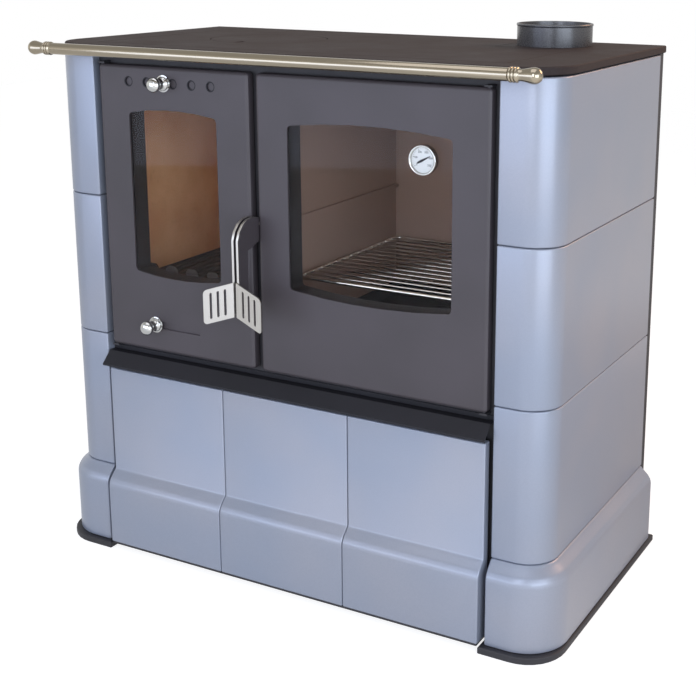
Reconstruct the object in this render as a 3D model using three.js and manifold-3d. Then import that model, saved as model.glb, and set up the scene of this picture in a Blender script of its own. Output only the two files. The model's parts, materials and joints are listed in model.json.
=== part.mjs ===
// Wood-fired cookstove with a glazed firebox door, a glazed oven door and ceramic cladding.
// Millimetres, +Z up, front towards -Y. The ceramic columns' front face is y = 0 while the
// pieces are drawn; the whole stove is then moved back so its origin is under its middle.
import * as THREE from 'three';
import { mergeVertices } from 'three/addons/utils/BufferGeometryUtils.js';
import Module from 'manifold-3d';

const wasm = await Module();
wasm.setup();

// ---- driving dimensions -------------------------------------------------------------
const GAP = 0.3;                  // clearance between pieces that seat on each other
const SHEET = 2.5;                // folded door and oven steel

const HOB_TOP = 860;              // cooking surface above the floor
const HOB_T = 12;

const TILE_HALF = 442;            // outer half width of the ceramic columns
const TILE_DEPTH = 430;
const TILE_T = 16;
const COLUMN_IN = TILE_HALF - 86; // half width between the columns' inner edges
const CORNER_R = 50;
const COURSE_Z = [144, 379, 614, HOB_TOP - HOB_T - 1];   // joints between the courses, floor upwards
const JOINT = 1;                  // mortar gap between two courses
const SOFT = 2;                   // rounding of a glazed edge
const SKID_T = 11.5;
const FLARE = 18.7;               // how far the plinth and the drawer's foot swing out
const SKID = { in: COLUMN_IN - 7, out: TILE_HALF + FLARE + 2.3, front: -27, r: CORNER_R + 14 };

const HOB_HALF = TILE_HALF + 2;
const HOB_FRONT = -15;
const HOB_BACK = TILE_DEPTH + 20;
const HOB_CORNER = 80;
const LEDGE = 12;                 // width of the ledge that carries the cooking plate
const PLATE_T = 8;
const FLUE = { x: HOB_HALF - 155, y: TILE_DEPTH - 75, r: 60, wall: 3, bead: 1, top: HOB_TOP + 35 };
const PLATE = {
  x0: -370, x1: 352, y0: 30, y1: TILE_DEPTH - 5, notchX: FLUE.x - FLUE.r - 13, notchY: FLUE.y - FLUE.r - 5 };
const LID = { x: -175, y: 230, r: 98, t: 4 };

const FRAME_Y = TILE_T + 0.5;     // sheet steel front behind the doors and the columns
const FRAME_T = 3;
const SIDE_IN = TILE_HALF - TILE_T - GAP;
const FRAME_HALF = TILE_HALF - CORNER_R - 2;   // clear of the columns' rounded corners
const SIDE_Y = CORNER_R + 3;
const BACK_Y = TILE_DEPTH + GAP;
const BACK_T = 16;

const DOOR_Z = [364, HOB_TOP - 31];
const DOOR_T = 14;
const DOOR_ROLL = 6;              // radius of the rolled front edges
const RIM = 15;                   // return flange behind the door's edge
const FIRE_X = [11 - COLUMN_IN, -56];
const OVEN_X = [-43, COLUMN_IN - 11];
const HINGE = { in: 6, y: 5.6, r: 2.6, arm: 3 };
const ROPE = { in: 5, w: 8 };
const FIRE_WINDOW = {
  x: [FIRE_X[0] + 59, FIRE_X[1] - 60], z: [DOOR_Z[0] + 132, DOOR_Z[1] - 73], bulge: 6, r: 9 };
const OVEN_WINDOW = {
  x: [OVEN_X[0] + 56, OVEN_X[1] - 58], z: [DOOR_Z[0] + 139, DOOR_Z[1] - 74], bulge: 8, r: 8 };
const GLASS_T = 4;
const GLASS_LAP = 14;
const SKIRT = { wall: 3, depth: 38, flange: 11 };

const FIRE_MID = (FIRE_X[0] + FIRE_X[1]) / 2;
// air holes: two left and three right of the knob, measured from the middle of the door
const AIR = { z: DOOR_Z[1] - 25.4, r: 8.3, pitch: 36, left: -83.5, right: 3.5, knob: -14.1 };
const AIR_HOLES = [AIR.left, AIR.left + AIR.pitch, ...[0, 1, 2].map(i => AIR.right + AIR.pitch * i)]
  .map(x => FIRE_MID + x);
const AIR_KNOB_X = FIRE_MID + AIR.knob;
const AIR_TRAVEL = AIR.pitch / 2;
const LOW_AIR = { x: FIRE_X[0] + 95.5, z: DOOR_Z[0] + 46, travel: 84, slotH: 12.5, end: 4.5, r: 2, lap: 8 };
const SLIDE_T = 2;
const KNOB = { pin: 2.4, rosette: 13.5, neck: 6, head: 11.6, reach: 32 };

const GAP_X = (FIRE_X[1] + OVEN_X[0]) / 2;   // middle of the slit between the two doors
const LEVER = { t: 4, off: 2.1, y: 7, z: DOOR_Z[1] - 229, bore: 3.9, front: -52, foot: DOOR_Z[1] - 361 };
const GRIP = { w: 51, foot: LEVER.foot - 3, h: 54, t: 2.4, drop: 17, lean: 9, r: 6, slotW: 4, slotH: 41 };

const RAIL = {
  y: HOB_FRONT - 35, z: HOB_TOP - 6.5, r: 9, half: HOB_HALF - 52, post: HOB_HALF - 119, postR: 5.5 };
const FINIAL = 46.5;

const GAUGE = {
  x: OVEN_WINDOW.x[1] - 43.8, z: OVEN_WINDOW.z[1] - 32, r: 21.5, front: -8.5, dial: 18.3, recess: 4 };

const FIREBOX = {
  x: [FIRE_X[0], FIRE_X[1] - 1], y: TILE_DEPTH - 20, z: [DOOR_Z[0] + 4, HOB_TOP - 14], wall: 3,
  ledgeZ: DOOR_Z[0] + 91, mouth: [DOOR_Z[0] + 16, DOOR_Z[1] - 16] };
const BRICK_T = 25;
const BRICK_TOP = HOB_TOP - 60;
const GRATE_TOP = FIREBOX.ledgeZ + 19.7;
const OVEN = {
  x: [OVEN_X[0] + 19, OVEN_X[1] - 19], z: [DOOR_Z[0] + 36, HOB_TOP - 60], y: TILE_DEPTH - 30, wall: SHEET,
  rib: 6, rackZ: OVEN_WINDOW.z[0] + 2, ribs: [OVEN_WINDOW.z[0] - 1.3, OVEN_WINDOW.z[0] + 97] };

const LIP = { z: DOOR_Z[0] - 15, out: -19.5, drop: 19, half: COLUMN_IN - 4, t: 2 };
const DRAWER = {
  half: COLUMN_IN - 8, z0: 13.8, z1: LIP.z - 27, face: -7, tileT: 14, back: TILE_DEPTH - 50,
  boxHalf: COLUMN_IN - 21, boxZ: [34, 300], ledge: 3.7 };

// ---- materials ----------------------------------------------------------------------
const finish = (color, roughness, metalness) =>
  new THREE.MeshStandardMaterial({ color, roughness, metalness });
const GLAZE = finish('#a0acc4', 0.18, 0.1);
const PAINT = finish('#5c5a5e', 0.55, 0.3);
const BLACK = finish('#3e3c40', 0.6, 0.3);
const IRON = finish('#4b4442', 0.65, 0.4);
const CHROME = finish('#d8d4c8', 0.14, 1);
const BRUSHED = finish('#cfccc6', 0.35, 1);
const BRICK = finish('#c98a56', 0.9, 0);
const ENAMEL = finish('#34363c', 0.3, 0.2);
const ROPE_GREY = finish('#77736c', 0.95, 0);
const DIAL = finish('#f2f1ec', 0.5, 0);
const GLASS = new THREE.MeshStandardMaterial({
  color: '#9aa0a0', roughness: 0.05, metalness: 0, transparent: true, opacity: 0.35 });

// ---- shape helpers --------------------------------------------------------------------
const rect = (u0, u1, v0, v1, r = 0) => {
  const s = new THREE.Shape();
  if (!r) return new THREE.Shape([[u0, v0], [u1, v0], [u1, v1], [u0, v1]].map(p => new THREE.Vector2(...p)));
  s.absarc(u1 - r, v0 + r, r, -Math.PI / 2, 0);
  s.absarc(u1 - r, v1 - r, r, 0, Math.PI / 2);
  s.absarc(u0 + r, v1 - r, r, Math.PI / 2, Math.PI);
  s.absarc(u0 + r, v0 + r, r, Math.PI, Math.PI * 1.5);
  return s;
};
const polygon = points => new THREE.Shape(points.map(p => new THREE.Vector2(...p)));

// An opening whose top and bottom edges bow outwards by `bulge`, grown all round by `grow`.
const bowed = ({ x, z, bulge, r }, grow = 0) => {
  const [u0, u1, v0, v1] = [x[0] - grow, x[1] + grow, z[0] - grow, z[1] + grow];
  const mid = (u0 + u1) / 2;
  const s = new THREE.Shape();
  s.moveTo(u0, v0 + r);
  s.quadraticCurveTo(u0, v0, u0 + r, v0);
  s.quadraticCurveTo(mid, v0 - 2 * bulge, u1 - r, v0);
  s.quadraticCurveTo(u1, v0, u1, v0 + r);
  s.lineTo(u1, v1 - r);
  s.quadraticCurveTo(u1, v1, u1 - r, v1);
  s.quadraticCurveTo(mid, v1 + 2 * bulge, u0 + r, v1);
  s.quadraticCurveTo(u0, v1, u0, v1 - r);
  return s;
};

// A prism of `shape` between lo and hi along one axis: shapes are drawn in XY for 'z',
// in XZ for 'y' and in YZ for 'x'. `round` softens the edges of both end faces.
const prism = (shape, lo, hi, axis = 'z', { round = 0, steps = 1, arc = 6 } = {}) => {
  const g = new THREE.ExtrudeGeometry(shape, {
    depth: hi - lo - 2 * round, curveSegments: arc, bevelEnabled: round > 0,
    bevelThickness: round, bevelSize: round, bevelOffset: -round, bevelSegments: steps });
  g.translate(0, 0, round);
  if (axis === 'z') return g.translate(0, 0, lo);
  if (axis === 'y') return g.rotateX(Math.PI / 2).translate(0, hi, 0);
  const turn = new THREE.Matrix4().set(0, 0, 1, lo, 1, 0, 0, 0, 0, 1, 0, 0, 0, 0, 0, 1);
  return g.applyMatrix4(turn);
};
const box = (x0, x1, y0, y1, z0, z1) =>
  new THREE.BoxGeometry(x1 - x0, y1 - y0, z1 - z0)
    .translate((x0 + x1) / 2, (y0 + y1) / 2, (z0 + z1) / 2);
// A turned body from [radius, height] pairs; axis 'z' stands, 'x' and 'y' lie along the axis.
const turned = (profile, at, axis = 'z', sides = 24) => {
  const g = new THREE.LatheGeometry(profile.map(p => new THREE.Vector2(...p)), sides);
  if (axis === 'z') g.rotateX(Math.PI / 2);
  if (axis === 'x') g.rotateZ(-Math.PI / 2);
  return g.translate(...at);
};
const rod = (r, length, at, axis, sides = 16) =>
  turned([[0, 0], [r, 0], [r, length], [0, length]], at, axis, sides);

// Stacks rings of equal point count (anticlockwise from above, lowest first) into a body.
const loft = rings => {
  const n = rings[0].length;
  const positions = rings.flat(2);
  const index = [];
  for (let k = 0; k + 1 < rings.length; k++) {
    for (let i = 0; i < n; i++) {
      const [a, b] = [k * n + i, k * n + (i + 1) % n];
      index.push(a, b, b + n, a, b + n, a + n);
    }
  }
  const cap = THREE.ShapeUtils.triangulateShape(rings[0].map(p => new THREE.Vector2(p[0], p[1])), []);
  const top = (rings.length - 1) * n;
  for (const [a, b, c] of cap) index.push(a, c, b, top + a, top + b, top + c);
  const g = new THREE.BufferGeometry();
  g.setAttribute('position', new THREE.Float32BufferAttribute(positions, 3));
  g.setIndex(index);
  return g;
};

// ---- joining and cutting ---------------------------------------------------------------
const solid = geometry => {
  const g = geometry.clone();
  for (const name of ['normal', 'uv']) g.deleteAttribute(name);
  const merged = mergeVertices(g, 1e-4);
  const manifoldMesh = new wasm.Mesh({
    numProp: 3,
    vertProperties: new Float32Array(merged.attributes.position.array),
    triVerts: new Uint32Array(merged.index.array) });
  return new wasm.Manifold(manifoldMesh);
};
const surface = body => {
  const m = body.getMesh();
  const g = new THREE.BufferGeometry();
  g.setAttribute('position', new THREE.Float32BufferAttribute(m.vertProperties, 3));
  g.setIndex(new THREE.Uint32BufferAttribute(m.triVerts, 1));
  return g;
};
const join = (...parts) => surface(parts.map(solid).reduce((a, b) => a.add(b)));
const cut = (base, ...tools) => surface(tools.map(solid).reduce((a, b) => a.subtract(b), solid(base)));

// ---- the stove ---------------------------------------------------------------------------
const stove = new THREE.Group();
const place = (name, geometry, material) => {
  const g = geometry.index ? geometry : mergeVertices(geometry);
  g.computeVertexNormals();
  const mesh = new THREE.Mesh(g, material);
  mesh.name = name;
  stove.add(mesh);
};
const SIDES = [['left', -1], ['right', 1]];

// Outline of one ceramic column seen from above: a front strip, a quarter-round corner and
// a side wall. `out` moves the glazed face outwards, `inset` draws the two end faces in.
const ARC_STEPS = 9;
const columnOutline = (side, z, out, inset = 0) => {
  const centre = [TILE_HALF - CORNER_R, CORNER_R];
  const arcPoints = (r, from, to) => Array.from({ length: ARC_STEPS + 1 }, (_, i) => {
    const a = from + (to - from) * i / ARC_STEPS;
    return [centre[0] + r * Math.cos(a), centre[1] + r * Math.sin(a)];
  });
  const [inner, rear] = [COLUMN_IN + inset, TILE_DEPTH - inset];
  const points = [
    [inner, SOFT - out], [inner + SOFT * 0.3, SOFT * 0.3 - out], [inner + SOFT, -out],
    ...arcPoints(CORNER_R + out, -Math.PI / 2, 0),
    [TILE_HALF + out, rear - SOFT], [TILE_HALF + out - SOFT, rear],
    [TILE_HALF - TILE_T, rear],
    ...arcPoints(CORNER_R - TILE_T, 0, -Math.PI / 2),
    [inner, TILE_T]];
  const placed = points.map(([x, y]) => [side * x, y, z]);
  return side > 0 ? placed : placed.reverse();
};
// How far the plinth profile has swung out at height z, from 0 to 1.
const FLARE_Z = [116, 122, 129, 140, 143];
const FLARE_AT = [1, 0.94, 0.72, 0.1, 0];
const flare = z => {
  const i = FLARE_Z.findIndex(level => z < level);
  if (i < 0) return 0;
  if (i === 0) return 1;
  const t = (z - FLARE_Z[i - 1]) / (FLARE_Z[i] - FLARE_Z[i - 1]);
  return FLARE_AT[i - 1] + (FLARE_AT[i] - FLARE_AT[i - 1]) * t;
};
// Levels from z0 to z1 with softened ends: [height, how far the edge is drawn in].
const softEnds = (z0, z1, between = []) => [
  [z0, SOFT], [z0 + SOFT * 0.3, SOFT * 0.3], [z0 + SOFT, 0],
  ...between.filter(z => z > z0 + SOFT && z < z1 - SOFT).map(z => [z, 0]),
  [z1 - SOFT, 0], [z1 - SOFT * 0.3, SOFT * 0.3], [z1, SOFT]];

for (const [label, side] of SIDES) {
  // skid under each column, rounded at the front corner
  const skid = new THREE.Shape();
  skid.moveTo(side * SKID.in, SKID.front);
  const steps = 8;
  for (let i = 0; i <= steps; i++) {
    const a = -Math.PI / 2 + Math.PI / 2 * i / steps;
    skid.lineTo(side * (SKID.out - SKID.r + SKID.r * Math.cos(a)), SKID.front + SKID.r + SKID.r * Math.sin(a));
  }
  skid.lineTo(side * SKID.out, HOB_BACK - 2);
  skid.lineTo(side * SKID.in, HOB_BACK - 2);
  place(`skid_${label}`, prism(skid, 0, SKID_T, 'z', { round: 1.5 }), BLACK);

  // plinth block with its swung-out foot, then three equal courses up to the hob
  const plinth = softEnds(SKID_T + GAP, COURSE_Z[0] - JOINT, FLARE_Z)
    .map(([z, soft]) => columnOutline(side, z, FLARE * flare(z) - soft, soft));
  place(`plinth_${label}`, loft(plinth), GLAZE);
  for (let c = 0; c < COURSE_Z.length - 1; c++) {
    const rings = softEnds(COURSE_Z[c], COURSE_Z[c + 1] - JOINT)
      .map(([z, soft]) => columnOutline(side, z, -soft, soft));
    place(`tile_${label}_${c + 1}`, loft(rings), GLAZE);
  }
}

// ---- carcass ---------------------------------------------------------------------------
const FLOOR_Z = SKID_T + GAP;
const UNDER_HOB = HOB_TOP - HOB_T - GAP;
place('base_plate', prism(polygon([
  [-FRAME_HALF, FRAME_Y], [FRAME_HALF, FRAME_Y], [SIDE_IN, SIDE_Y], [SIDE_IN, TILE_DEPTH],
  [-SIDE_IN, TILE_DEPTH], [-SIDE_IN, SIDE_Y]]), FLOOR_Z, FLOOR_Z + 3), BLACK);
const CARCASS_Z = FLOOR_Z + 3 + GAP;
const runnerTop = DRAWER.boxZ[0] - GAP;
for (const [label, side] of SIDES) {
  const span = (a, b) => [side * a, side * b].sort((p, q) => p - q);
  const wall = box(...span(SIDE_IN - 3, SIDE_IN), SIDE_Y, TILE_DEPTH, CARCASS_Z, UNDER_HOB);
  const runner = box(...span(DRAWER.boxHalf - 25, SIDE_IN - 1), SIDE_Y, OVEN.y, runnerTop - 3, runnerTop);
  place(`side_panel_${label}`, join(wall, runner), BLACK);
}
place('back_panel', cut(
  box(-TILE_HALF + 1, TILE_HALF - 1, BACK_Y, BACK_Y + BACK_T, FLOOR_Z, UNDER_HOB),
  box(-TILE_HALF + 3, TILE_HALF - 3, BACK_Y - 1, BACK_Y + BACK_T - 2, FLOOR_Z + 2, UNDER_HOB - 2)), BLACK);

const fireAxis = FIRE_X[0] + HINGE.in;
const ovenAxis = OVEN_X[1] - HINGE.in;
const hingeArm = (x, z0, pinZ) => join(
  box(x - 6, x + 6, HINGE.y - HINGE.r - 2, FRAME_Y + 1, z0, z0 + HINGE.arm),
  rod(HINGE.r, 12, [x, HINGE.y, pinZ], 'z', 12));
const hingeArms = [fireAxis, ovenAxis].flatMap(x => [
  hingeArm(x, DOOR_Z[1] + GAP, DOOR_Z[1] + GAP + 2 - 12),
  hingeArm(x, DOOR_Z[0] - GAP - HINGE.arm, DOOR_Z[0] - GAP - 2)]);
const frameSheet = cut(
  box(-FRAME_HALF, FRAME_HALF, FRAME_Y, FRAME_Y + FRAME_T, CARCASS_Z, UNDER_HOB),
  box(FIRE_X[0] + RIM + 1, FIRE_X[1] - RIM - 1, 0, 40, ...FIREBOX.mouth),
  box(...OVEN.x, 0, 40, ...OVEN.z),
  box(-DRAWER.boxHalf - 4, DRAWER.boxHalf + 4, 0, 40, 0, DRAWER.z1 + 4));
place('front_frame', join(frameSheet, ...hingeArms), BLACK);

// folded lip over the drawer, sloping forward
place('drawer_lip', prism(polygon([
  [FRAME_Y - GAP, LIP.z], [FRAME_Y - GAP, LIP.z + 9], [FRAME_Y - GAP - LIP.t, LIP.z + 9],
  [FRAME_Y - GAP - LIP.t, LIP.z + LIP.t], [0, LIP.z + LIP.t], [LIP.out, LIP.z + LIP.t - LIP.drop],
  [LIP.out, LIP.z - LIP.drop - 1], [0, LIP.z]]), -LIP.half, LIP.half, 'x'), PAINT);

// ---- hob -------------------------------------------------------------------------------
const plateOutline = grow => polygon([
  [PLATE.x0 - grow, PLATE.y0 - grow], [PLATE.x1 + grow, PLATE.y0 - grow],
  [PLATE.x1 + grow, PLATE.notchY + grow], [PLATE.notchX + grow, PLATE.notchY + grow],
  [PLATE.notchX + grow, PLATE.y1 + grow], [PLATE.x0 - grow, PLATE.y1 + grow]]);
const hobShape = new THREE.Shape();
hobShape.absarc(HOB_HALF - HOB_CORNER, HOB_FRONT + HOB_CORNER, HOB_CORNER, -Math.PI / 2, 0);
hobShape.lineTo(HOB_HALF, HOB_BACK);
hobShape.lineTo(-HOB_HALF, HOB_BACK);
hobShape.absarc(-HOB_HALF + HOB_CORNER, HOB_FRONT + HOB_CORNER, HOB_CORNER, Math.PI, Math.PI * 1.5);
const flueBore = FLUE.r - FLUE.wall;
place('hob_frame', cut(
  prism(hobShape, HOB_TOP - HOB_T, HOB_TOP, 'z', { round: 1.5, arc: 12 }),
  prism(plateOutline(0), HOB_TOP - PLATE_T, HOB_TOP + 5),
  prism(plateOutline(-LEDGE), HOB_TOP - HOB_T - 5, HOB_TOP + 5),
  rod(flueBore, 60, [FLUE.x, FLUE.y, HOB_TOP - 30], 'z', 40)), IRON);
place('hob_plate', cut(
  prism(plateOutline(-1), HOB_TOP - PLATE_T + GAP, HOB_TOP, 'z', { round: 0.6 }),
  rod(LID.r, 20, [LID.x, LID.y, HOB_TOP - LID.t], 'z', 44),
  rod(LID.r - 8, 40, [LID.x, LID.y, HOB_TOP - 20], 'z', 44)), IRON);
place('hob_lid', cut(
  turned([[0, HOB_TOP - PLATE_T + 1], [LID.r - 9, HOB_TOP - PLATE_T + 1],
    [LID.r - 9, HOB_TOP - LID.t + GAP], [LID.r - 1, HOB_TOP - LID.t + GAP],
    [LID.r - 1, HOB_TOP - 0.5], [LID.r - 1.5, HOB_TOP], [0, HOB_TOP]], [LID.x, LID.y, 0], 'z', 44),
  box(LID.x - 4, LID.x + 4, LID.y - LID.r + 4, LID.y - LID.r + 26, HOB_TOP - 3, HOB_TOP + 3)), IRON);
place('flue_collar', turned([
  [flueBore, HOB_TOP + GAP], [FLUE.r + FLUE.bead, HOB_TOP + GAP], [FLUE.r + FLUE.bead, HOB_TOP + 1.2],
  [FLUE.r, HOB_TOP + 2.4], [FLUE.r, FLUE.top - 0.8],
  [FLUE.r - 0.8, FLUE.top], [flueBore + 0.8, FLUE.top], [flueBore, FLUE.top - 0.8],
  [flueBore, HOB_TOP + GAP]], [FLUE.x, FLUE.y, 0], 'z', 40), BLACK);

// ---- towel rail --------------------------------------------------------------------------
const railBar = rod(RAIL.r, 2 * RAIL.half, [-RAIL.half, RAIL.y, RAIL.z], 'x', 24);
const posts = SIDES.map(([, side]) =>
  rod(RAIL.postR, HOB_FRONT - GAP - RAIL.y, [side * RAIL.post, RAIL.y, RAIL.z], 'y', 16));
place('rail_tube', join(railBar, ...posts), CHROME);
// finial from its seat on the tube outwards: three rings, a flaring cone and a ball end
const ringAt = s => [[8.6, s], [10.5, s + 1.2], [10.5, s + 2.8], [8.6, s + 4]];
const ballR = 11;
const ball = Array.from({ length: 6 }, (_, i) => {
  const a = -0.35 + (Math.PI / 2 + 0.35) * i / 5;
  return [ballR * Math.cos(a), FINIAL - ballR + ballR * Math.sin(a)];
});
const finialProfile = [[0, GAP], [8.4, GAP], ...[1, 5.4, 9.8].flatMap(ringAt),
  [8, 16], [9.4, 26], ...ball.slice(0, -1), [0, FINIAL]];
for (const [label, side] of SIDES) {
  const g = turned(finialProfile, [0, 0, 0], 'x', 18);
  if (side < 0) g.rotateZ(Math.PI);
  place(`rail_finial_${label}`, g.translate(side * RAIL.half, RAIL.y, RAIL.z), CHROME);
}

// ---- firebox -----------------------------------------------------------------------------
const [FX0, FX1] = FIREBOX.x;
const FY0 = FRAME_Y + FRAME_T + GAP;
const w = FIREBOX.wall;
const boxShell = cut(
  box(FX0, FX1, FY0, FIREBOX.y, ...FIREBOX.z),
  box(FX0 + w, FX1 - w, FY0 - 5, FIREBOX.y - w, FIREBOX.z[0] + w, FIREBOX.z[1] + 5),
  box(FX1 - w - 1, FX1 + 1, FY0 + 20, FIREBOX.y - 20, OVEN.z[1] + 10, FIREBOX.z[1] + 5));
const ledges = [FX0 + 1, FX1 - 13].map(x =>
  box(x, x + 12, FY0 + 2, FIREBOX.y - 1, FIREBOX.ledgeZ, FIREBOX.ledgeZ + w));
place('firebox_shell', join(boxShell, ...ledges), BLACK);
const [lineX0, lineX1, lineY] = [FX0 + w + GAP, FX1 - w - GAP, FIREBOX.y - w - GAP];
const grateBase = FIREBOX.ledgeZ + w + GAP;
const slots = Array.from({ length: 11 }, (_, i) => {
  const x = (FX0 + FX1) / 2 + 20 * (i - 5);
  return prism(rect(x - 4, x + 4, 80, FIREBOX.y - 80, 3.9), grateBase - 5, GRATE_TOP + 5, 'z', { arc: 1 });
});
place('fire_grate', cut(box(lineX0, lineX1, FY0 + 4, lineY, grateBase, GRATE_TOP), ...slots), IRON);
const brickZ = GRATE_TOP + GAP;
const brick = (x0, x1, y0, y1) => prism(rect(x0, x1, y0, y1), brickZ, BRICK_TOP, 'z', { round: 1.5 });
place('firebrick_left', brick(lineX0, lineX0 + BRICK_T, FY0 + 8, lineY - BRICK_T - GAP), BRICK);
place('firebrick_right', brick(lineX1 - BRICK_T, lineX1, FY0 + 8, lineY - BRICK_T - GAP), BRICK);
place('firebrick_back', brick(lineX0, lineX1, lineY - BRICK_T, lineY), BRICK);
// crenellated guard that keeps the fuel off the glass
const guardX = [lineX0 + BRICK_T + 1, lineX1 - BRICK_T - 1];
const merlon = {
  w: 24, pitch: 0.181 * (guardX[1] - guardX[0]), first: guardX[0] + 24.7, h: 23, base: 6, cut: 5 };
const guardTop = Array.from({ length: 5 }, (_, i) => merlon.first + merlon.pitch * i).flatMap(c => [
  [c - merlon.w / 2, brickZ + merlon.base], [c - merlon.w / 2, brickZ + merlon.h - merlon.cut],
  [c - merlon.w / 2 + merlon.cut, brickZ + merlon.h], [c + merlon.w / 2 - merlon.cut, brickZ + merlon.h],
  [c + merlon.w / 2, brickZ + merlon.h - merlon.cut], [c + merlon.w / 2, brickZ + merlon.base]]);
place('fire_guard', prism(polygon([
  [guardX[0], brickZ], [guardX[0], brickZ + merlon.base], ...guardTop,
  [guardX[1], brickZ + merlon.base], [guardX[1], brickZ]]), 44, 48, 'y'), IRON);
const ashFloor = FIREBOX.z[0] + w + GAP;
place('ash_pan', cut(
  box(FX0 + 40, FX1 - 40, FY0 + 12, FIREBOX.y - 30, ashFloor, ashFloor + 64),
  box(FX0 + 41.5, FX1 - 41.5, FY0 + 13.5, FIREBOX.y - 31.5, ashFloor + 1.5, ashFloor + 80)), BLACK);

// ---- oven ----------------------------------------------------------------------------------
const [OX0, OX1] = OVEN.x;
const ow = OVEN.wall;
const ovenShell = cut(
  box(OX0 - ow, OX1 + ow, FY0, OVEN.y, OVEN.z[0] - ow, OVEN.z[1] + ow),
  box(OX0, OX1, FY0 - 5, OVEN.y - ow, ...OVEN.z));
const ribs = OVEN.ribs.flatMap(z => [OX0 - 1, OX1 + 1 - OVEN.rib].map(x =>
  box(x, x + OVEN.rib, FY0 + 30, OVEN.y - 1, z - OVEN.rib, z)));
place('oven_box', join(ovenShell, ...ribs), ENAMEL);
const rack = { r: 3, wire: 1.6, x0: OX0 + 4, x1: OX1 - 4, y0: 64, y1: OVEN.y - 12, count: 13 };
const rackFrame = prism(rect(rack.x0, rack.x1, rack.y0, rack.y1, 12), OVEN.rackZ - rack.r, OVEN.rackZ + rack.r,
  'z', { round: 1.7, arc: 3 });
const rackHole = prism(rect(rack.x0 + 6, rack.x1 - 6, rack.y0 + 6, rack.y1 - 6, 7),
  OVEN.rackZ - 9, OVEN.rackZ + 9, 'z', { arc: 3 });
const wires = Array.from({ length: rack.count }, (_, i) => {
  const y = rack.y0 + (rack.y1 - rack.y0) * (i + 1) / (rack.count + 1);
  return rod(rack.wire, rack.x1 - rack.x0 - 4, [rack.x0 + 2, y, OVEN.rackZ + 1], 'x', 6);
});
place('oven_rack', join(cut(rackFrame, rackHole), ...wires), CHROME);
place('oven_tray', cut(
  prism(rect(OX0 + 8, OX1 - 8, 40, OVEN.y - 15, 14), OVEN.z[0] + GAP, OVEN.z[0] + 26, 'z', { arc: 3 }),
  prism(rect(OX0 + 10, OX1 - 10, 42, OVEN.y - 17, 12), OVEN.z[0] + 2.5, OVEN.z[0] + 40, 'z', { arc: 3 })),
ENAMEL);

// ---- doors -----------------------------------------------------------------------------------
// A door is a pan of folded sheet: rolled front edges, a return flange behind, a bowed
// window, a pane clamped by a deep skirt, and a rope seal against the front frame.
const doorFrame = ([x0, x1], window, latchX, hingeX, ...holes) => cut(
  prism(rect(x0, x1, ...DOOR_Z, DOOR_ROLL + 0.5), 0, DOOR_T + DOOR_ROLL, 'y',
    { round: DOOR_ROLL, steps: 3, arc: 3 }),
  box(x0 - 5, x1 + 5, DOOR_T, DOOR_T + 20, DOOR_Z[0] - 5, DOOR_Z[1] + 5),
  box(x0 + SHEET, x1 - SHEET, SHEET, DOOR_T - SHEET, DOOR_Z[0] + SHEET, DOOR_Z[1] - SHEET),
  box(x0 + RIM, x1 - RIM, SHEET, DOOR_T + 5, DOOR_Z[0] + RIM, DOOR_Z[1] - RIM),
  prism(bowed(window), -5, SHEET + 2, 'y', { arc: 5 }),
  rod(HINGE.r + GAP, 30, [hingeX, HINGE.y, DOOR_Z[1] - 20], 'z', 12),
  rod(HINGE.r + GAP, 30, [hingeX, HINGE.y, DOOR_Z[0] - 10], 'z', 12),
  rod(LEVER.bore, 10, [latchX - 5, LEVER.y, LEVER.z], 'x', 12),
  ...holes);
const pane = window =>
  prism(bowed(window, GLASS_LAP), SHEET + GAP, SHEET + GAP + GLASS_T, 'y', { arc: 5 });
const skirt = window => {
  const y0 = SHEET + 2 * GAP + GLASS_T;
  return join(
    cut(prism(bowed(window, 1 + SKIRT.wall), y0, SKIRT.depth, 'y', { arc: 5 }),
      prism(bowed(window, 1), y0 - 5, SKIRT.depth + 5, 'y', { arc: 5 })),
    cut(prism(bowed(window, SKIRT.flange), y0, y0 + 2, 'y', { arc: 5 }),
      prism(bowed(window, 2), y0 - 5, y0 + 5, 'y', { arc: 5 })));
};
const rope = ([x0, x1]) => {
  const shape = grow => rect(x0 + grow, x1 - grow, DOOR_Z[0] + grow, DOOR_Z[1] - grow, 6);
  return cut(
    prism(shape(ROPE.in), DOOR_T + GAP, FRAME_Y - GAP, 'y', { arc: 2 }),
    prism(shape(ROPE.in + ROPE.w), 0, 40, 'y', { arc: 2 }));
};
// knob that rides in a slot: pin, stepped rosette, waisted neck and chamfered head, towards -Y
const knob = (x, z) => {
  const back = SHEET + GAP;
  const s = back + GAP;
  const { pin, rosette, neck, head, reach } = KNOB;
  return turned([[0, 0], [pin, 0], [pin, s], [rosette, s], [rosette, s + 1.6], [rosette - 2.7, s + 2.8],
    [rosette - 2.7, s + 4.6], [neck + 1.4, s + 7], [neck, s + 11], [neck + 0.4, s + 16], [head - 3.2, s + 20],
    [head, s + 21.4], [head, s + reach - 6], [head - 3, s + reach - 2.4], [head - 6, s + reach - 0.8],
    [0, s + reach]],
  [0, 0, 0], 'y', 16).rotateZ(Math.PI).translate(x, back, z);
};

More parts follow.
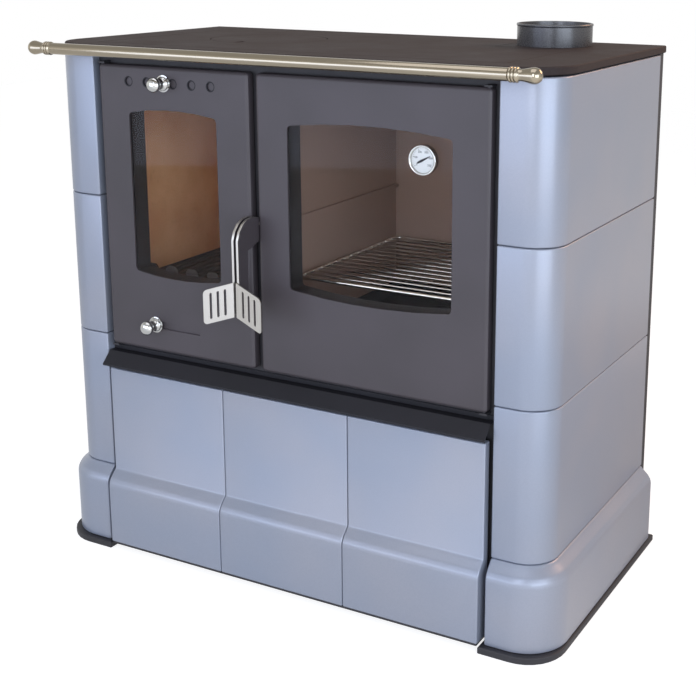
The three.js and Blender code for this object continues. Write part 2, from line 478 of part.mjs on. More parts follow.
const slot = (x0, x1, z, h, r) => prism(rect(x0, x1, z - h / 2, z + h / 2, r), -5, SHEET + 2, 'y', { arc: 4 });
const airSlotH = 2 * KNOB.pin + 1;
const DRILL = 20;                 // long enough to pass right through a door's sheet and slide
place('fire_door', doorFrame(FIRE_X, FIRE_WINDOW, FIRE_X[1] - 1, fireAxis,
  ...AIR_HOLES.map(x => rod(AIR.r, DRILL, [x, -8, AIR.z], 'y', 16)),
  slot(AIR_KNOB_X - AIR_TRAVEL - airSlotH / 2, AIR_KNOB_X + airSlotH / 2, AIR.z, airSlotH, airSlotH / 2 - 0.05),
  slot(LOW_AIR.x - LOW_AIR.end, LOW_AIR.x + LOW_AIR.travel + LOW_AIR.end, LOW_AIR.z, LOW_AIR.slotH,
    LOW_AIR.r)), PAINT);
place('fire_door_glass', pane(FIRE_WINDOW), GLASS);
place('fire_door_skirt', skirt(FIRE_WINDOW), BLACK);
place('fire_door_rope', rope(FIRE_X), ROPE_GREY);
place('upper_air_slide', cut(
  box(AIR_HOLES[0] - 10, AIR_HOLES.at(-1) + AIR_TRAVEL + 10, SHEET + GAP, SHEET + GAP + SLIDE_T,
    AIR.z - AIR.r - 3, AIR.z + AIR.r + 3),
  ...AIR_HOLES.map(x => rod(AIR.r, DRILL, [x + AIR_TRAVEL, -8, AIR.z], 'y', 16)),
  rod(KNOB.pin + GAP, DRILL, [AIR_KNOB_X, -8, AIR.z], 'y', 12)), PAINT);
place('upper_air_knob', knob(AIR_KNOB_X, AIR.z), CHROME);
place('lower_air_slide', cut(
  box(LOW_AIR.x - LOW_AIR.travel - LOW_AIR.lap, LOW_AIR.x + LOW_AIR.travel + LOW_AIR.lap,
    SHEET + GAP, SHEET + GAP + SLIDE_T, LOW_AIR.z - 14, LOW_AIR.z + 14),
  rod(KNOB.pin + GAP, DRILL, [LOW_AIR.x, -8, LOW_AIR.z], 'y', 12)), PAINT);
place('lower_air_knob', knob(LOW_AIR.x, LOW_AIR.z), CHROME);

place('oven_door', doorFrame(OVEN_X, OVEN_WINDOW, OVEN_X[0] + 1, ovenAxis), PAINT);
place('oven_door_glass', pane(OVEN_WINDOW), GLASS);
place('oven_door_skirt', skirt(OVEN_WINDOW), BLACK);
place('oven_door_rope', rope(OVEN_X), ROPE_GREY);

// bimetal gauge standing on the oven pane
const gaugeBack = SHEET;
const gaugeDepth = gaugeBack - GAUGE.front;
const gaugeAt = [GAUGE.x, gaugeBack, GAUGE.z];
const turnedForward = (profile, sides) =>
  turned(profile, [0, 0, 0], 'y', sides).rotateZ(Math.PI).translate(...gaugeAt);
const dialFloor = gaugeDepth - GAUGE.recess - 1;
place('gauge_case', turnedForward([
  [0, 0], [GAUGE.r - 2, 0], [GAUGE.r - 2, gaugeDepth - 5], [GAUGE.r, gaugeDepth - 4.2],
  [GAUGE.r, gaugeDepth - 0.8], [GAUGE.r - 0.8, gaugeDepth], [GAUGE.dial, gaugeDepth],
  [GAUGE.dial, dialFloor], [0, dialFloor]], 24), CHROME);
place('gauge_dial', turnedForward([
  [0, dialFloor + GAP], [GAUGE.dial - GAP, dialFloor + GAP],
  [GAUGE.dial - GAP, dialFloor + 1], [0, dialFloor + 1]], 24), DIAL);
const NEEDLE_T = 0.7;
const needleY = GAUGE.front + GAUGE.recess - GAP - NEEDLE_T;
place('gauge_needle', prism(polygon([[-10, -1.1], [-3, -1.8], [13, -0.4], [13, 0.4], [-3, 1.8], [-10, 1.1]]),
  0, NEEDLE_T, 'y').rotateY(-0.5).translate(GAUGE.x, needleY, GAUGE.z), BLACK);

// ---- handles ------------------------------------------------------------------------------------
// Each lever hangs in the slit between the doors on a cross pin and carries a slotted wing.
const leverOutline = () => {
  const { z, front, foot } = LEVER;
  return polygon([
    [8, z + 5], [2, z + 10], [-12, z + 13], [-26, z + 12], [-38, z + 6], [-47, z - 4], [front, z - 17],
    [front, foot], [front + 24, foot], [front + 26, z - 37], [-4, z - 29], [8, z - 26]]);
};
const handleOn = (door, side) => {
  const span = (a, b) => [GAP_X + side * a, GAP_X + side * b].sort((p, q) => p - q);
  const lever = cut(prism(leverOutline(), ...span(LEVER.off, LEVER.off + LEVER.t), 'x', { round: 0.4 }),
    rod(LEVER.bore, 40, [GAP_X - 20, LEVER.y, LEVER.z], 'x', 12));
  place(`${door}_lever`, lever, PAINT);
  const headLo = GAP_X + side * (LEVER.off - GAP);
  const pinEnd = GAP_X + side * 14;
  const head = rod(5.2, 1.4, [Math.min(headLo, headLo - side * 1.4), LEVER.y, LEVER.z], 'x', 16);
  const shank = rod(LEVER.bore - GAP, Math.abs(pinEnd - headLo) + 0.5,
    [Math.min(pinEnd, headLo - side * 0.5), LEVER.y, LEVER.z], 'x', 12);
  place(`${door}_lever_pin`, join(head, shank), BRUSHED);
  // the wing is square along its fold at the lever and rounded at its two free corners
  const top = GRIP.foot + GRIP.h;
  const sheet = new THREE.Shape();
  sheet.moveTo(0, GRIP.foot);
  sheet.lineTo(GRIP.w - GRIP.r, GRIP.foot);
  sheet.absarc(GRIP.w - GRIP.r, GRIP.foot + GRIP.r, GRIP.r, -Math.PI / 2, 0);
  sheet.absarc(GRIP.w - GRIP.r, top - GRIP.r, GRIP.r, 0, Math.PI / 2);
  sheet.lineTo(0, top);
  const slotFoot = GRIP.foot + (GRIP.h - GRIP.slotH) / 2;
  for (let i = 0; i < 3; i++) {
    const u = GRIP.w * (0.28 + 0.235 * i);
    sheet.holes.push(rect(u - GRIP.slotW / 2, u + GRIP.slotW / 2, slotFoot, slotFoot + GRIP.slotH,
      GRIP.slotW / 2 - 0.05));
  }
  const wing = prism(sheet, -GRIP.t, 0, 'y', { arc: 2 });
  const shear = new THREE.Matrix4().set(
    1, 0, 0, 0, -GRIP.lean / GRIP.w, 1, 0, 0, -GRIP.drop / GRIP.w, 0, 1, 0, 0, 0, 0, 1);
  wing.applyMatrix4(shear);
  const body = side > 0 ? wing : mirrored(wing);
  place(`${door}_grip`, body.translate(GAP_X + side * LEVER.off, LEVER.front - GAP, 0), BRUSHED);
};
function mirrored(geometry) {
  const g = mergeVertices(geometry.clone().scale(-1, 1, 1));
  const flipped = [];
  for (let i = 0; i < g.index.count; i += 3) {
    flipped.push(g.index.getX(i), g.index.getX(i + 2), g.index.getX(i + 1));
  }
  g.setIndex(flipped);
  return g;
}
handleOn('fire_door', -1);
handleOn('oven_door', 1);

// ---- drawer -----------------------------------------------------------------------------------------
const tileBack = DRAWER.face + DRAWER.tileT;
const tileW = 2 * DRAWER.half / 3;
for (let i = 0; i < 3; i++) {
  const [x0, x1] = [-DRAWER.half + tileW * i + 0.5, -DRAWER.half + tileW * (i + 1) - 0.5];
  const rings = softEnds(DRAWER.z0, DRAWER.z1, FLARE_Z).map(([z, soft]) => {
    const y = DRAWER.face - FLARE * flare(z) + soft;
    const [a, b] = [x0 + soft * 0.5, x1 - soft * 0.5];
    return [[a + SOFT, y, z], [b - SOFT, y, z], [b - SOFT * 0.3, y + SOFT * 0.3, z], [b, y + SOFT, z],
      [b, tileBack, z], [a, tileBack, z], [a, y + SOFT, z], [a + SOFT * 0.3, y + SOFT * 0.3, z]];
  });
  place(`drawer_tile_${i + 1}`, loft(rings), GLAZE);
}
// steel drawer: front plate, ledge that carries the tiles, and the box itself
const bx = DRAWER.boxHalf;
const ledgeTop = DRAWER.z0 - GAP;
const plateHalf = DRAWER.half - 2;
place('drawer_box', join(
  box(-plateHalf, plateHalf, tileBack + GAP, tileBack + GAP + 2, ledgeTop - DRAWER.ledge, DRAWER.z1 - 3),
  box(-plateHalf, plateHalf, DRAWER.face - FLARE + 2, tileBack + GAP + 1, ledgeTop - DRAWER.ledge, ledgeTop),
  cut(box(-bx, bx, tileBack + GAP + 1, DRAWER.back, ...DRAWER.boxZ),
    box(-bx + 1.5, bx - 1.5, tileBack + GAP + 2, DRAWER.back - 1.5, DRAWER.boxZ[0] + 1.5, DRAWER.boxZ[1] + 9))),
BLACK);

// origin under the middle of the whole stove
const frontmost = LEVER.front - GAP - GRIP.t - GRIP.lean;
stove.position.y = -(HOB_BACK + frontmost) / 2;

export default stove;
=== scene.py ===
# %% [markdown]
# # A tiled wood cookstove
#
# The real stove is a sheet steel carcass with two glazed doors, clad in pearl grey-blue ceramic
# tiles and topped with a cast iron hob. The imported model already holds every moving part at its
# real size, so this lesson only dresses it: fine surfaces replace the faceted solids where a
# curve catches the light, and each finish is a procedural material with its real grain.

# %% Load the fixed frame
import json
import math

import bmesh
import bpy
import numpy as np
from mathutils import Matrix, Vector


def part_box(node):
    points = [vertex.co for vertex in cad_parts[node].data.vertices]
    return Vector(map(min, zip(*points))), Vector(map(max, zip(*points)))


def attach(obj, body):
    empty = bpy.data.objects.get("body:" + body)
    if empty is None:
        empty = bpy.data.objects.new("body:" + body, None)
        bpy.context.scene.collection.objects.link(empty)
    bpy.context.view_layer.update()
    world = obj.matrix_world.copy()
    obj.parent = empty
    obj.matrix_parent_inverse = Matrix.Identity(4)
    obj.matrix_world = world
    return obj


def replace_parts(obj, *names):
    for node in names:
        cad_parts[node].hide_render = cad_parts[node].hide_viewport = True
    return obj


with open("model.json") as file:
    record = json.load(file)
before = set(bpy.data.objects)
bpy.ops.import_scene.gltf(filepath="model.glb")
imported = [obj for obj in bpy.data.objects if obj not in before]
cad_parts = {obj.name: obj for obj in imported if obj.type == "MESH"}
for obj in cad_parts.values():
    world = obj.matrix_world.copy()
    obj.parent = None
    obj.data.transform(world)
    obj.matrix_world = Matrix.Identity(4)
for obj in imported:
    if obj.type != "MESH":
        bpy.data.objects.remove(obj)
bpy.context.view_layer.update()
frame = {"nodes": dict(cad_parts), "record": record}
body_of_node = {n: b for b, names in frame["record"]["behaviour"]["bodies"].items() for n in names}
FACE_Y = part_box("tile_right_2")[0][1]      # front plane of the ceramic columns, in metres
print("nodes", len(frame["nodes"]), "front plane", round(FACE_Y, 5))


def at(x, y, z):
    """A point given in millimetres from the columns' front plane and the floor, in metres."""
    return np.array([x * 0.001, y * 0.001 + FACE_Y, z * 0.001])


# %% [markdown]
# ## The camera
#
# The photograph was taken from the right of the stove, a little above the hob. A camera fitted
# to the tile joints and the door edges gives where it stood and how it was turned; the small
# shift stands for the part of the picture that was trimmed away.

# %% Camera at the photograph's viewing angle
IMAGE = 696
CAM_AT = at(1055.6, -1533.6, 1014.9)
CAM_TURN, CAM_DIP, CAM_ROLL = 0.48397, 0.23041, 0.00611     # radians
CAM_FOCAL_PX = 1258.0
AXIS_PX = (428.0, 240.0)                                     # where the lens axis meets the image


def camera_rows(turn, dip, roll):
    """Right, down and forward directions of a camera that looks along +Y, turned left by
    `turn` about the vertical, then tipped down by `dip`, then rolled about its own axis."""
    level = math.cos(dip)
    forward = np.array([-math.sin(turn) * level, math.cos(turn) * level, -math.sin(dip)])
    right = np.array([math.cos(turn), math.sin(turn), 0.0])
    down = np.cross(forward, right)
    c, s = math.cos(roll), math.sin(roll)
    return np.array([c * right - s * down, s * right + c * down, forward])


lens_axes = camera_rows(CAM_TURN, CAM_DIP, CAM_ROLL)
SENSOR_MM = 36.0
camera = bpy.data.objects.new("camera", bpy.data.cameras.new("camera"))
bpy.context.scene.collection.objects.link(camera)
bpy.context.scene.camera = camera
turn = np.eye(4)
turn[:3, :3] = np.array([lens_axes[0], -lens_axes[1], -lens_axes[2]]).T
turn[:3, 3] = CAM_AT
camera.matrix_world = Matrix(turn.tolist())
camera.data.sensor_width = SENSOR_MM
camera.data.lens = CAM_FOCAL_PX / IMAGE * SENSOR_MM
camera.data.shift_x = (IMAGE / 2 - AXIS_PX[0]) / IMAGE
camera.data.shift_y = (AXIS_PX[1] - IMAGE / 2) / IMAGE
print("lens", round(camera.data.lens, 2), "shift", camera.data.shift_x, camera.data.shift_y)

# %% [markdown]
# ## Helpers for materials
#
# Colours are written as the sRGB hex a picture editor shows and turned linear once, because
# the shader works in linear light. Pattern sizes are written in millimetres: a noise texture
# of scale S on Object coordinates repeats about every 1/S metre, so S = 1000 / size.


# %% Colour, pattern size and one helper that adds a node
def colour(hex_code, alpha=1.0):
    """sRGB hex to linear RGBA: the standard curve, channel by channel."""
    srgb = np.array([int(hex_code[i:i + 2], 16) for i in (1, 3, 5)]) / 255.0
    linear = np.where(srgb <= 0.04045, srgb / 12.92, ((srgb + 0.055) / 1.055) ** 2.4)
    return (*linear.tolist(), alpha)


def per_mm(size_mm):
    """Texture scale whose pattern repeats about every `size_mm` millimetres."""
    return 1000.0 / size_mm


def add(tree, kind, inputs=None, **settings):
    """Adds one node: `settings` are its properties, `inputs` gives a value or another
    node's output socket for each named or numbered input."""
    n = tree.nodes.new(kind)
    for key, value in settings.items():
        setattr(n, key, value)
    for key, value in (inputs or {}).items():
        if isinstance(value, bpy.types.NodeSocket):
            tree.links.new(value, n.inputs[key])
        else:
            n.inputs[key].default_value = value
    return n


def start_material(name, base, **sockets):
    """A material with one Principled shader, its fixed numbers set on its own sockets. Gives
    the material, its tree, the shader and the socket of the Object coordinates. Where two
    colours are mixed, socket 0 of the Mix node is the share and 6 and 7 are the colours."""
    m = bpy.data.materials.new(name)
    m.use_nodes = True
    tree = m.node_tree
    tree.nodes.clear()
    shader = add(tree, "ShaderNodeBsdfPrincipled", {"Base Color": colour(base)})
    for key, value in sockets.items():
        shader.inputs[key.replace("_", " ")].default_value = value
    out = add(tree, "ShaderNodeOutputMaterial", {"Surface": shader.outputs[0]})
    place = add(tree, "ShaderNodeTexCoord")
    return m, tree, shader, place.outputs["Object"]


# %% [markdown]
# ## Glazed ceramic
#
# The tiles are fired clay under a pearl grey-blue glaze. Three things give it away: a soft but
# deep gloss, a colour that clouds gently from blue to warm grey where the glaze ran thicker or
# thinner, and a faint ripple left by firing. A rougher base under a thin sharper coat gives
# the broad milky highlight of the rounded corners with a crisper core.

# %% Pearl glaze
glaze, t, shader, obj = start_material(
    "pearl_glazed_ceramic", "#A2A8B5", Roughness=0.36, IOR=1.5, Metallic=0.28, Coat_Weight=0.2,
    Coat_Roughness=0.14)
cloud = add(t, "ShaderNodeTexNoise",
            {"Vector": obj, "Scale": per_mm(170), "Detail": 2.0, "Roughness": 0.45})
cloud_step = add(t, "ShaderNodeMapRange", {0: cloud.outputs["Fac"], 1: 0.35, 2: 0.68})
speck = add(t, "ShaderNodeTexNoise", {"Vector": obj, "Scale": per_mm(2.2), "Detail": 2.0})
speck_step = add(t, "ShaderNodeMapRange", {0: speck.outputs["Fac"], 1: 0.42, 2: 0.62, 3: 0.0, 4: 0.14})
body_tone = add(t, "ShaderNodeMix",
                {0: cloud_step.outputs[0], 6: colour("#A0A7B5"), 7: colour("#AAACB5")}, data_type="RGBA")
tone = add(t, "ShaderNodeMix",
           {0: speck_step.outputs[0], 6: body_tone.outputs[2], 7: colour("#9298A6")}, data_type="RGBA")
t.links.new(tone.outputs[2], shader.inputs["Base Color"])
ripple = add(t, "ShaderNodeTexNoise", {"Vector": obj, "Scale": per_mm(38), "Detail": 1.0})
bump = add(t, "ShaderNodeBump", {"Strength": 0.08, "Distance": 0.0012, "Height": ripple.outputs["Fac"]})
t.links.new(bump.outputs[0], shader.inputs["Coat Normal"])
t.links.new(bump.outputs[0], shader.inputs["Normal"])

# %% [markdown]
# ## Stove paint, black heat paint and seasoned iron
#
# The doors, levers and slides carry anthracite stove paint, sprayed on and baked: satin, with
# the finest pebble of dried spray. The lip, carcass and skids carry the same paint in black,
# and the collar a smoother grey-black that shines more. One recipe serves all of them: two close tones that
# drift over a hand's breadth, and a fine spray grain in the roughness and the bump.


# %% One recipe for sprayed paint
def sprayed_paint(name, dark, light, drift_mm, grain_mm, rough, **sockets):
    """Baked spray paint: the colour drifts between `dark` and `light` over `drift_mm`, and
    the grain, `grain_mm` wide, moves the roughness between the two numbers of `rough`."""
    m, t, shader, obj = start_material(name, dark, Roughness=sum(rough) / 2, **sockets)
    spray = add(t, "ShaderNodeTexNoise",
                {"Vector": obj, "Scale": per_mm(grain_mm), "Detail": 3.0, "Roughness": 0.6})
    drift = add(t, "ShaderNodeTexNoise", {"Vector": obj, "Scale": per_mm(drift_mm), "Detail": 2.0})
    drift_step = add(t, "ShaderNodeMapRange", {0: drift.outputs["Fac"], 1: 0.3, 2: 0.7})
    tone = add(t, "ShaderNodeMix",
               {0: drift_step.outputs[0], 6: colour(dark), 7: colour(light)}, data_type="RGBA")
    t.links.new(tone.outputs[2], shader.inputs["Base Color"])
    grain = add(t, "ShaderNodeMapRange", {0: spray.outputs["Fac"], 1: 0.3, 2: 0.7, 3: rough[0], 4: rough[1]})
    t.links.new(grain.outputs[0], shader.inputs["Roughness"])
    bump = add(t, "ShaderNodeBump", {"Strength": 0.16, "Distance": 0.0004, "Height": spray.outputs["Fac"]})
    t.links.new(bump.outputs[0], shader.inputs["Normal"])
    return m


# %% The four paints
stove_paint = sprayed_paint("baked_anthracite_stove_paint", "#464042", "#4F484B", 140, 1.1,
                            (0.4, 0.54), IOR=1.5)
black_paint = sprayed_paint("black_heat_paint", "#29272A", "#343235", 60, 1.4, (0.46, 0.62), IOR=1.5)
lip_paint = sprayed_paint("baked_black_lip_paint", "#1E1D21", "#252429", 140, 1.1, (0.45, 0.6), IOR=1.5,
                          Specular_IOR_Level=0.3)
collar_paint = sprayed_paint("grey_collar_paint", "#36363A", "#404044", 30, 1.2, (0.22, 0.32), IOR=1.5,
                             Specular_IOR_Level=1.0)
print("paints", stove_paint.name, black_paint.name, lip_paint.name, collar_paint.name)

# %% [markdown]
# The hob is bare cast iron, ground flat and turned black-brown by heat and oil. It keeps long
# faint grinding lines, so one noise is squeezed to a twenty-fifth along the stove, and broad
# blotches where the oil baked on unevenly.

# %% Seasoned cast iron
cast_iron, t, shader, obj = start_material(
    "seasoned_cast_iron", "#463F3C", Roughness=0.66, IOR=1.45, Specular_IOR_Level=0.16)
stretch = add(t, "ShaderNodeMapping", {"Vector": obj, "Scale": (0.04, 1.0, 1.0)})
lines = add(t, "ShaderNodeTexNoise",
            {"Vector": stretch.outputs[0], "Scale": per_mm(2.0), "Detail": 3.0, "Roughness": 0.65})
blotch = add(t, "ShaderNodeTexNoise",
             {"Vector": obj, "Scale": per_mm(75), "Detail": 4.0, "Roughness": 0.6})
blotch_step = add(t, "ShaderNodeMapRange", {0: blotch.outputs["Fac"], 1: 0.32, 2: 0.7})
oiled = add(t, "ShaderNodeMix",
            {0: blotch_step.outputs[0], 6: colour("#3B3230"), 7: colour("#463E3B")}, data_type="RGBA")
line_step = add(t, "ShaderNodeMapRange", {0: lines.outputs["Fac"], 1: 0.4, 2: 0.75, 3: 0.0, 4: 0.25})
tone = add(t, "ShaderNodeMix",
           {0: line_step.outputs[0], 6: oiled.outputs[2], 7: colour("#5A5250")}, data_type="RGBA")
t.links.new(tone.outputs[2], shader.inputs["Base Color"])
rough = add(t, "ShaderNodeMapRange", {0: blotch.outputs["Fac"], 1: 0.3, 2: 0.7, 3: 0.62, 4: 0.78})
t.links.new(rough.outputs[0], shader.inputs["Roughness"])
grain = add(t, "ShaderNodeTexNoise", {"Vector": obj, "Scale": per_mm(1.6), "Detail": 3.0})
both = add(t, "ShaderNodeMath", {0: grain.outputs["Fac"], 1: lines.outputs["Fac"]}, operation="ADD")
bump = add(t, "ShaderNodeBump", {"Strength": 0.22, "Distance": 0.0005, "Height": both.outputs[0]})
t.links.new(bump.outputs[0], shader.inputs["Normal"])

# %% [markdown]
# ## Bright metals
#
# The rail and its finials are plated and polished, with the straw tint of nickel, and drawn
# lengthways, so their fine scratches run along the rail. The knobs and the gauge's case are
# cooler chrome. The wings are brushed stainless sheet, whose grain runs up the sheet, the
# rack is bright drawn wire and the rear screws are dull zinc. All five share one recipe: a
# noise squeezed along the grain drives roughness and bump.


# %% One recipe for worked metal
def worked_metal(name, base, grain_mm, along, rough, strength):
    """Bare or plated metal: scratches `grain_mm` wide, stretched by the three factors of
    `along`, move the roughness between the two numbers of `rough`."""
    m, t, shader, obj = start_material(name, base, Metallic=1.0, Roughness=sum(rough) / 2)
    space = add(t, "ShaderNodeMapping", {"Vector": obj, "Scale": along})
    grain = add(t, "ShaderNodeTexNoise",
                {"Vector": space.outputs[0], "Scale": per_mm(grain_mm), "Detail": 3.0})
    step = add(t, "ShaderNodeMapRange", {0: grain.outputs["Fac"], 1: 0.3, 2: 0.7, 3: rough[0], 4: rough[1]})
    t.links.new(step.outputs[0], shader.inputs["Roughness"])
    bump = add(t, "ShaderNodeBump",
               {"Strength": strength, "Distance": 0.0002, "Height": grain.outputs["Fac"]})
    t.links.new(bump.outputs[0], shader.inputs["Normal"])
    return m


# %% Rail plating, chrome, brushed sheet, rack wire and zinc
rail_plating = worked_metal("polished_nickel_rail", "#A59B88", 1.6, (0.02, 1.0, 1.0), (0.06, 0.18), 0.12)
chrome = worked_metal("polished_chrome", "#C4C4C1", 9.0, (1.0, 1.0, 1.0), (0.06, 0.14), 0.02)
brushed = worked_metal("brushed_stainless_sheet", "#C6C2BA", 0.8, (1.0, 1.0, 0.03), (0.28, 0.44), 0.12)
rack_wire = worked_metal("bright_rack_wire", "#E8E2D8", 1.2, (0.05, 1.0, 1.0), (0.1, 0.2), 0.08)
zinc = worked_metal("dull_zinc_screw", "#9A9B9C", 2.5, (1.0, 1.0, 1.0), (0.32, 0.5), 0.1)
print("metals", rail_plating.name, chrome.name, brushed.name, rack_wire.name, zinc.name)

# %% [markdown]
# ## Glass, firebrick, enamel and the small finishes
#
# Both panes are clear glass-ceramic, with the faintest smear. Their IOR is set low, because a
# studio's white surround would otherwise lie over them as a grey veil. The lining is pressed
# fireclay: matt, pitted and warm buff, browned in broad patches by heat. The oven is
# brown-grey enamel, glossy over a pebbled ground. The seals are braided glass rope. The
# gauge's card is white enamel and its marks are printed ink, each with a tooth too fine to
# see but enough to break up a dead flat tone.

# %% Glass-ceramic panes
pane_glass, t, shader, obj = start_material(
    "clear_glass_ceramic", "#F4F4F2", Roughness=0.02, IOR=1.15, Transmission_Weight=1.0)
smear = add(t, "ShaderNodeTexNoise", {"Vector": obj, "Scale": per_mm(85), "Detail": 4.0})
rough = add(t, "ShaderNodeMapRange", {0: smear.outputs["Fac"], 1: 0.45, 2: 0.8, 3: 0.0, 4: 0.03})
t.links.new(rough.outputs[0], shader.inputs["Roughness"])

# %% Fireclay brick
firebrick, t, shader, obj = start_material("pressed_fireclay", "#E0AA7C", Roughness=0.9)
grit = add(t, "ShaderNodeTexNoise", {"Vector": obj, "Scale": per_mm(3.5), "Detail": 5.0, "Roughness": 0.7})
heat = add(t, "ShaderNodeTexNoise", {"Vector": obj, "Scale": per_mm(120), "Detail": 3.0})
heat_step = add(t, "ShaderNodeMapRange", {0: heat.outputs["Fac"], 1: 0.35, 2: 0.75})
clay = add(t, "ShaderNodeMix",
           {0: heat_step.outputs[0], 6: colour("#F2BE8E"), 7: colour("#D8925F")}, data_type="RGBA")
grit_step = add(t, "ShaderNodeMapRange", {0: grit.outputs["Fac"], 1: 0.55, 2: 0.8, 3: 0.0, 4: 0.6})
tone = add(t, "ShaderNodeMix",
           {0: grit_step.outputs[0], 6: clay.outputs[2], 7: colour("#7A4A2C")}, data_type="RGBA")
t.links.new(tone.outputs[2], shader.inputs["Base Color"])
bump = add(t, "ShaderNodeBump", {"Strength": 0.5, "Distance": 0.0012, "Height": grit.outputs["Fac"]})
t.links.new(bump.outputs[0], shader.inputs["Normal"])


# %% Enamel of the oven and of its tray
def fired_enamel(name, ground, fleck_tone):
    """Glossy enamel: pale flecks, 3 mm apart, scattered over the ground, and a soft pebble."""
    m, t, shader, obj = start_material(name, ground, Roughness=0.26, IOR=1.5)
    fleck = add(t, "ShaderNodeTexVoronoi", {"Vector": obj, "Scale": per_mm(3.0)})
    fleck_step = add(t, "ShaderNodeMapRange", {0: fleck.outputs["Distance"], 1: 0.0, 2: 0.3, 3: 0.7, 4: 0.0})
    tone = add(t, "ShaderNodeMix",
               {0: fleck_step.outputs[0], 6: colour(ground), 7: colour(fleck_tone)}, data_type="RGBA")
    t.links.new(tone.outputs[2], shader.inputs["Base Color"])
    pebble = add(t, "ShaderNodeTexNoise", {"Vector": obj, "Scale": per_mm(5), "Detail": 1.0})
    bump = add(t, "ShaderNodeBump", {"Strength": 0.1, "Distance": 0.0006, "Height": pebble.outputs["Fac"]})
    t.links.new(bump.outputs[0], shader.inputs["Normal"])
    return m


oven_enamel = fired_enamel("brown_grey_oven_enamel", "#AE9183", "#C2AEA4")
tray_enamel = fired_enamel("dark_tray_enamel", "#34363D", "#4C4F57")

# %% Glass rope, dial card, printing ink
rope_fibre, t, shader, obj = start_material("braided_glass_rope", "#77736C", Roughness=0.95)
braid = add(t, "ShaderNodeTexWave", {"Vector": obj, "Scale": per_mm(14), "Distortion": 2.0},
            bands_direction="DIAGONAL")
tone = add(t, "ShaderNodeMix",
           {0: braid.outputs["Fac"], 6: colour("#5E5A54"), 7: colour("#8B877F")}, data_type="RGBA")
t.links.new(tone.outputs[2], shader.inputs["Base Color"])
bump = add(t, "ShaderNodeBump", {"Strength": 0.6, "Distance": 0.001, "Height": braid.outputs["Fac"]})
t.links.new(bump.outputs[0], shader.inputs["Normal"])

dial_card, t, shader, obj = start_material("white_dial_enamel", "#F1F1EC", Roughness=0.4)
tooth = add(t, "ShaderNodeTexNoise", {"Vector": obj, "Scale": per_mm(1.0), "Detail": 2.0})
tone = add(t, "ShaderNodeMix",
           {0: tooth.outputs["Fac"], 6: colour("#EDEDE7"), 7: colour("#F6F6F2")}, data_type="RGBA")
t.links.new(tone.outputs[2], shader.inputs["Base Color"])

ink, t, shader, obj = start_material("black_printing_ink", "#1E1D1F", Roughness=0.6)
soak = add(t, "ShaderNodeTexNoise", {"Vector": obj, "Scale": per_mm(0.6), "Detail": 1.0})
tone = add(t, "ShaderNodeMix",
           {0: soak.outputs["Fac"], 6: colour("#1A191B"), 7: colour("#2A292B")}, data_type="RGBA")
t.links.new(tone.outputs[2], shader.inputs["Base Color"])
print("materials", len(bpy.data.materials))

# %% [markdown]
# ## Helpers for shapes
#
# Every fine surface is a whole array of points worked out at once. Rings of points stacked
# into a wall make the tiles; a profile turned about an axis makes knobs, finials and the flue
# collar; a section carried along a path makes rods and rims.


# %% Arrays into meshes
SMOOTH_BELOW = 35.0            # degrees between two faces, above which an edge stays sharp


def make_piece(name, points, faces, material, body, smooth_angle=SMOOTH_BELOW):
    """A mesh object from an array of points and a list of faces; normals are made to point
    outwards and shading is smooth across edges flatter than `smooth_angle` degrees."""
    mesh = bpy.data.meshes.new(name)
    mesh.from_pydata([tuple(p) for p in np.asarray(points, float).reshape(-1, 3)], [], faces)
    bm = bmesh.new()
    bm.from_mesh(mesh)
    bmesh.ops.remove_doubles(bm, verts=bm.verts, dist=1e-7)
    bmesh.ops.recalc_face_normals(bm, faces=bm.faces)
    bm.to_mesh(mesh)
    bm.free()
    mesh.materials.append(material)
    piece = bpy.data.objects.new(name, mesh)
    bpy.context.scene.collection.objects.link(piece)
    mesh.polygons.foreach_set("use_smooth", [True] * len(mesh.polygons))
    mesh.set_sharp_from_angle(angle=math.radians(smooth_angle))
    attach(piece, body)
    return piece


def grid_faces(rows, columns, wrap_rows=False):
    """Quads of a grid of rows x columns points, numbered row by row. Each row is a closed
    ring; `wrap_rows` joins the last row to the first."""
    r = np.arange(rows if wrap_rows else rows - 1)
    c = np.arange(columns)
    a = (r[:, None] * columns + c[None, :])
    b = (r[:, None] * columns + (c[None, :] + 1) % columns)
    up = ((r[:, None] + 1) % rows) * columns
    d, e = up + c[None, :], up + (c[None, :] + 1) % columns
    return np.stack([a, b, e, d], -1).reshape(-1, 4).tolist()


def stack_of_rings(name, rings, material, body, **options):
    """A closed body from rings[level, point, xyz], lowest first, capped flat at both ends."""
    levels, count = rings.shape[:2]
    faces = grid_faces(levels, count)
    faces += [list(range(count))[::-1], [(levels - 1) * count + i for i in range(count)]]
    return make_piece(name, rings, faces, material, body, **options)


def turned_piece(name, profile, origin, axis, material, body, sides=64, **options):
    """A surface of revolution. `profile` rows are (radius, distance along the axis), in mm;
    each point is origin + distance * axis + radius * (cos a * u + sin a * v)."""
    profile = np.asarray(profile, float) * 0.001
    w = np.asarray(axis, float)
    u = np.cross(w, [0.0, 0.0, 1.0] if abs(w[2]) < 0.9 else [1.0, 0.0, 0.0])
    u /= np.linalg.norm(u)
    v = np.cross(w, u)
    a = np.linspace(0, 2 * np.pi, sides, endpoint=False)
    spoke = np.cos(a)[:, None] * u + np.sin(a)[:, None] * v
    points = origin + profile[:, None, 1:2] * w + profile[:, None, 0:1] * spoke[None]
    closed = np.allclose(profile[0], profile[-1])
    if closed:
        points = points[:-1]
    faces = grid_faces(len(points), sides, wrap_rows=closed)
    return make_piece(name, points, faces, material, body, **options)


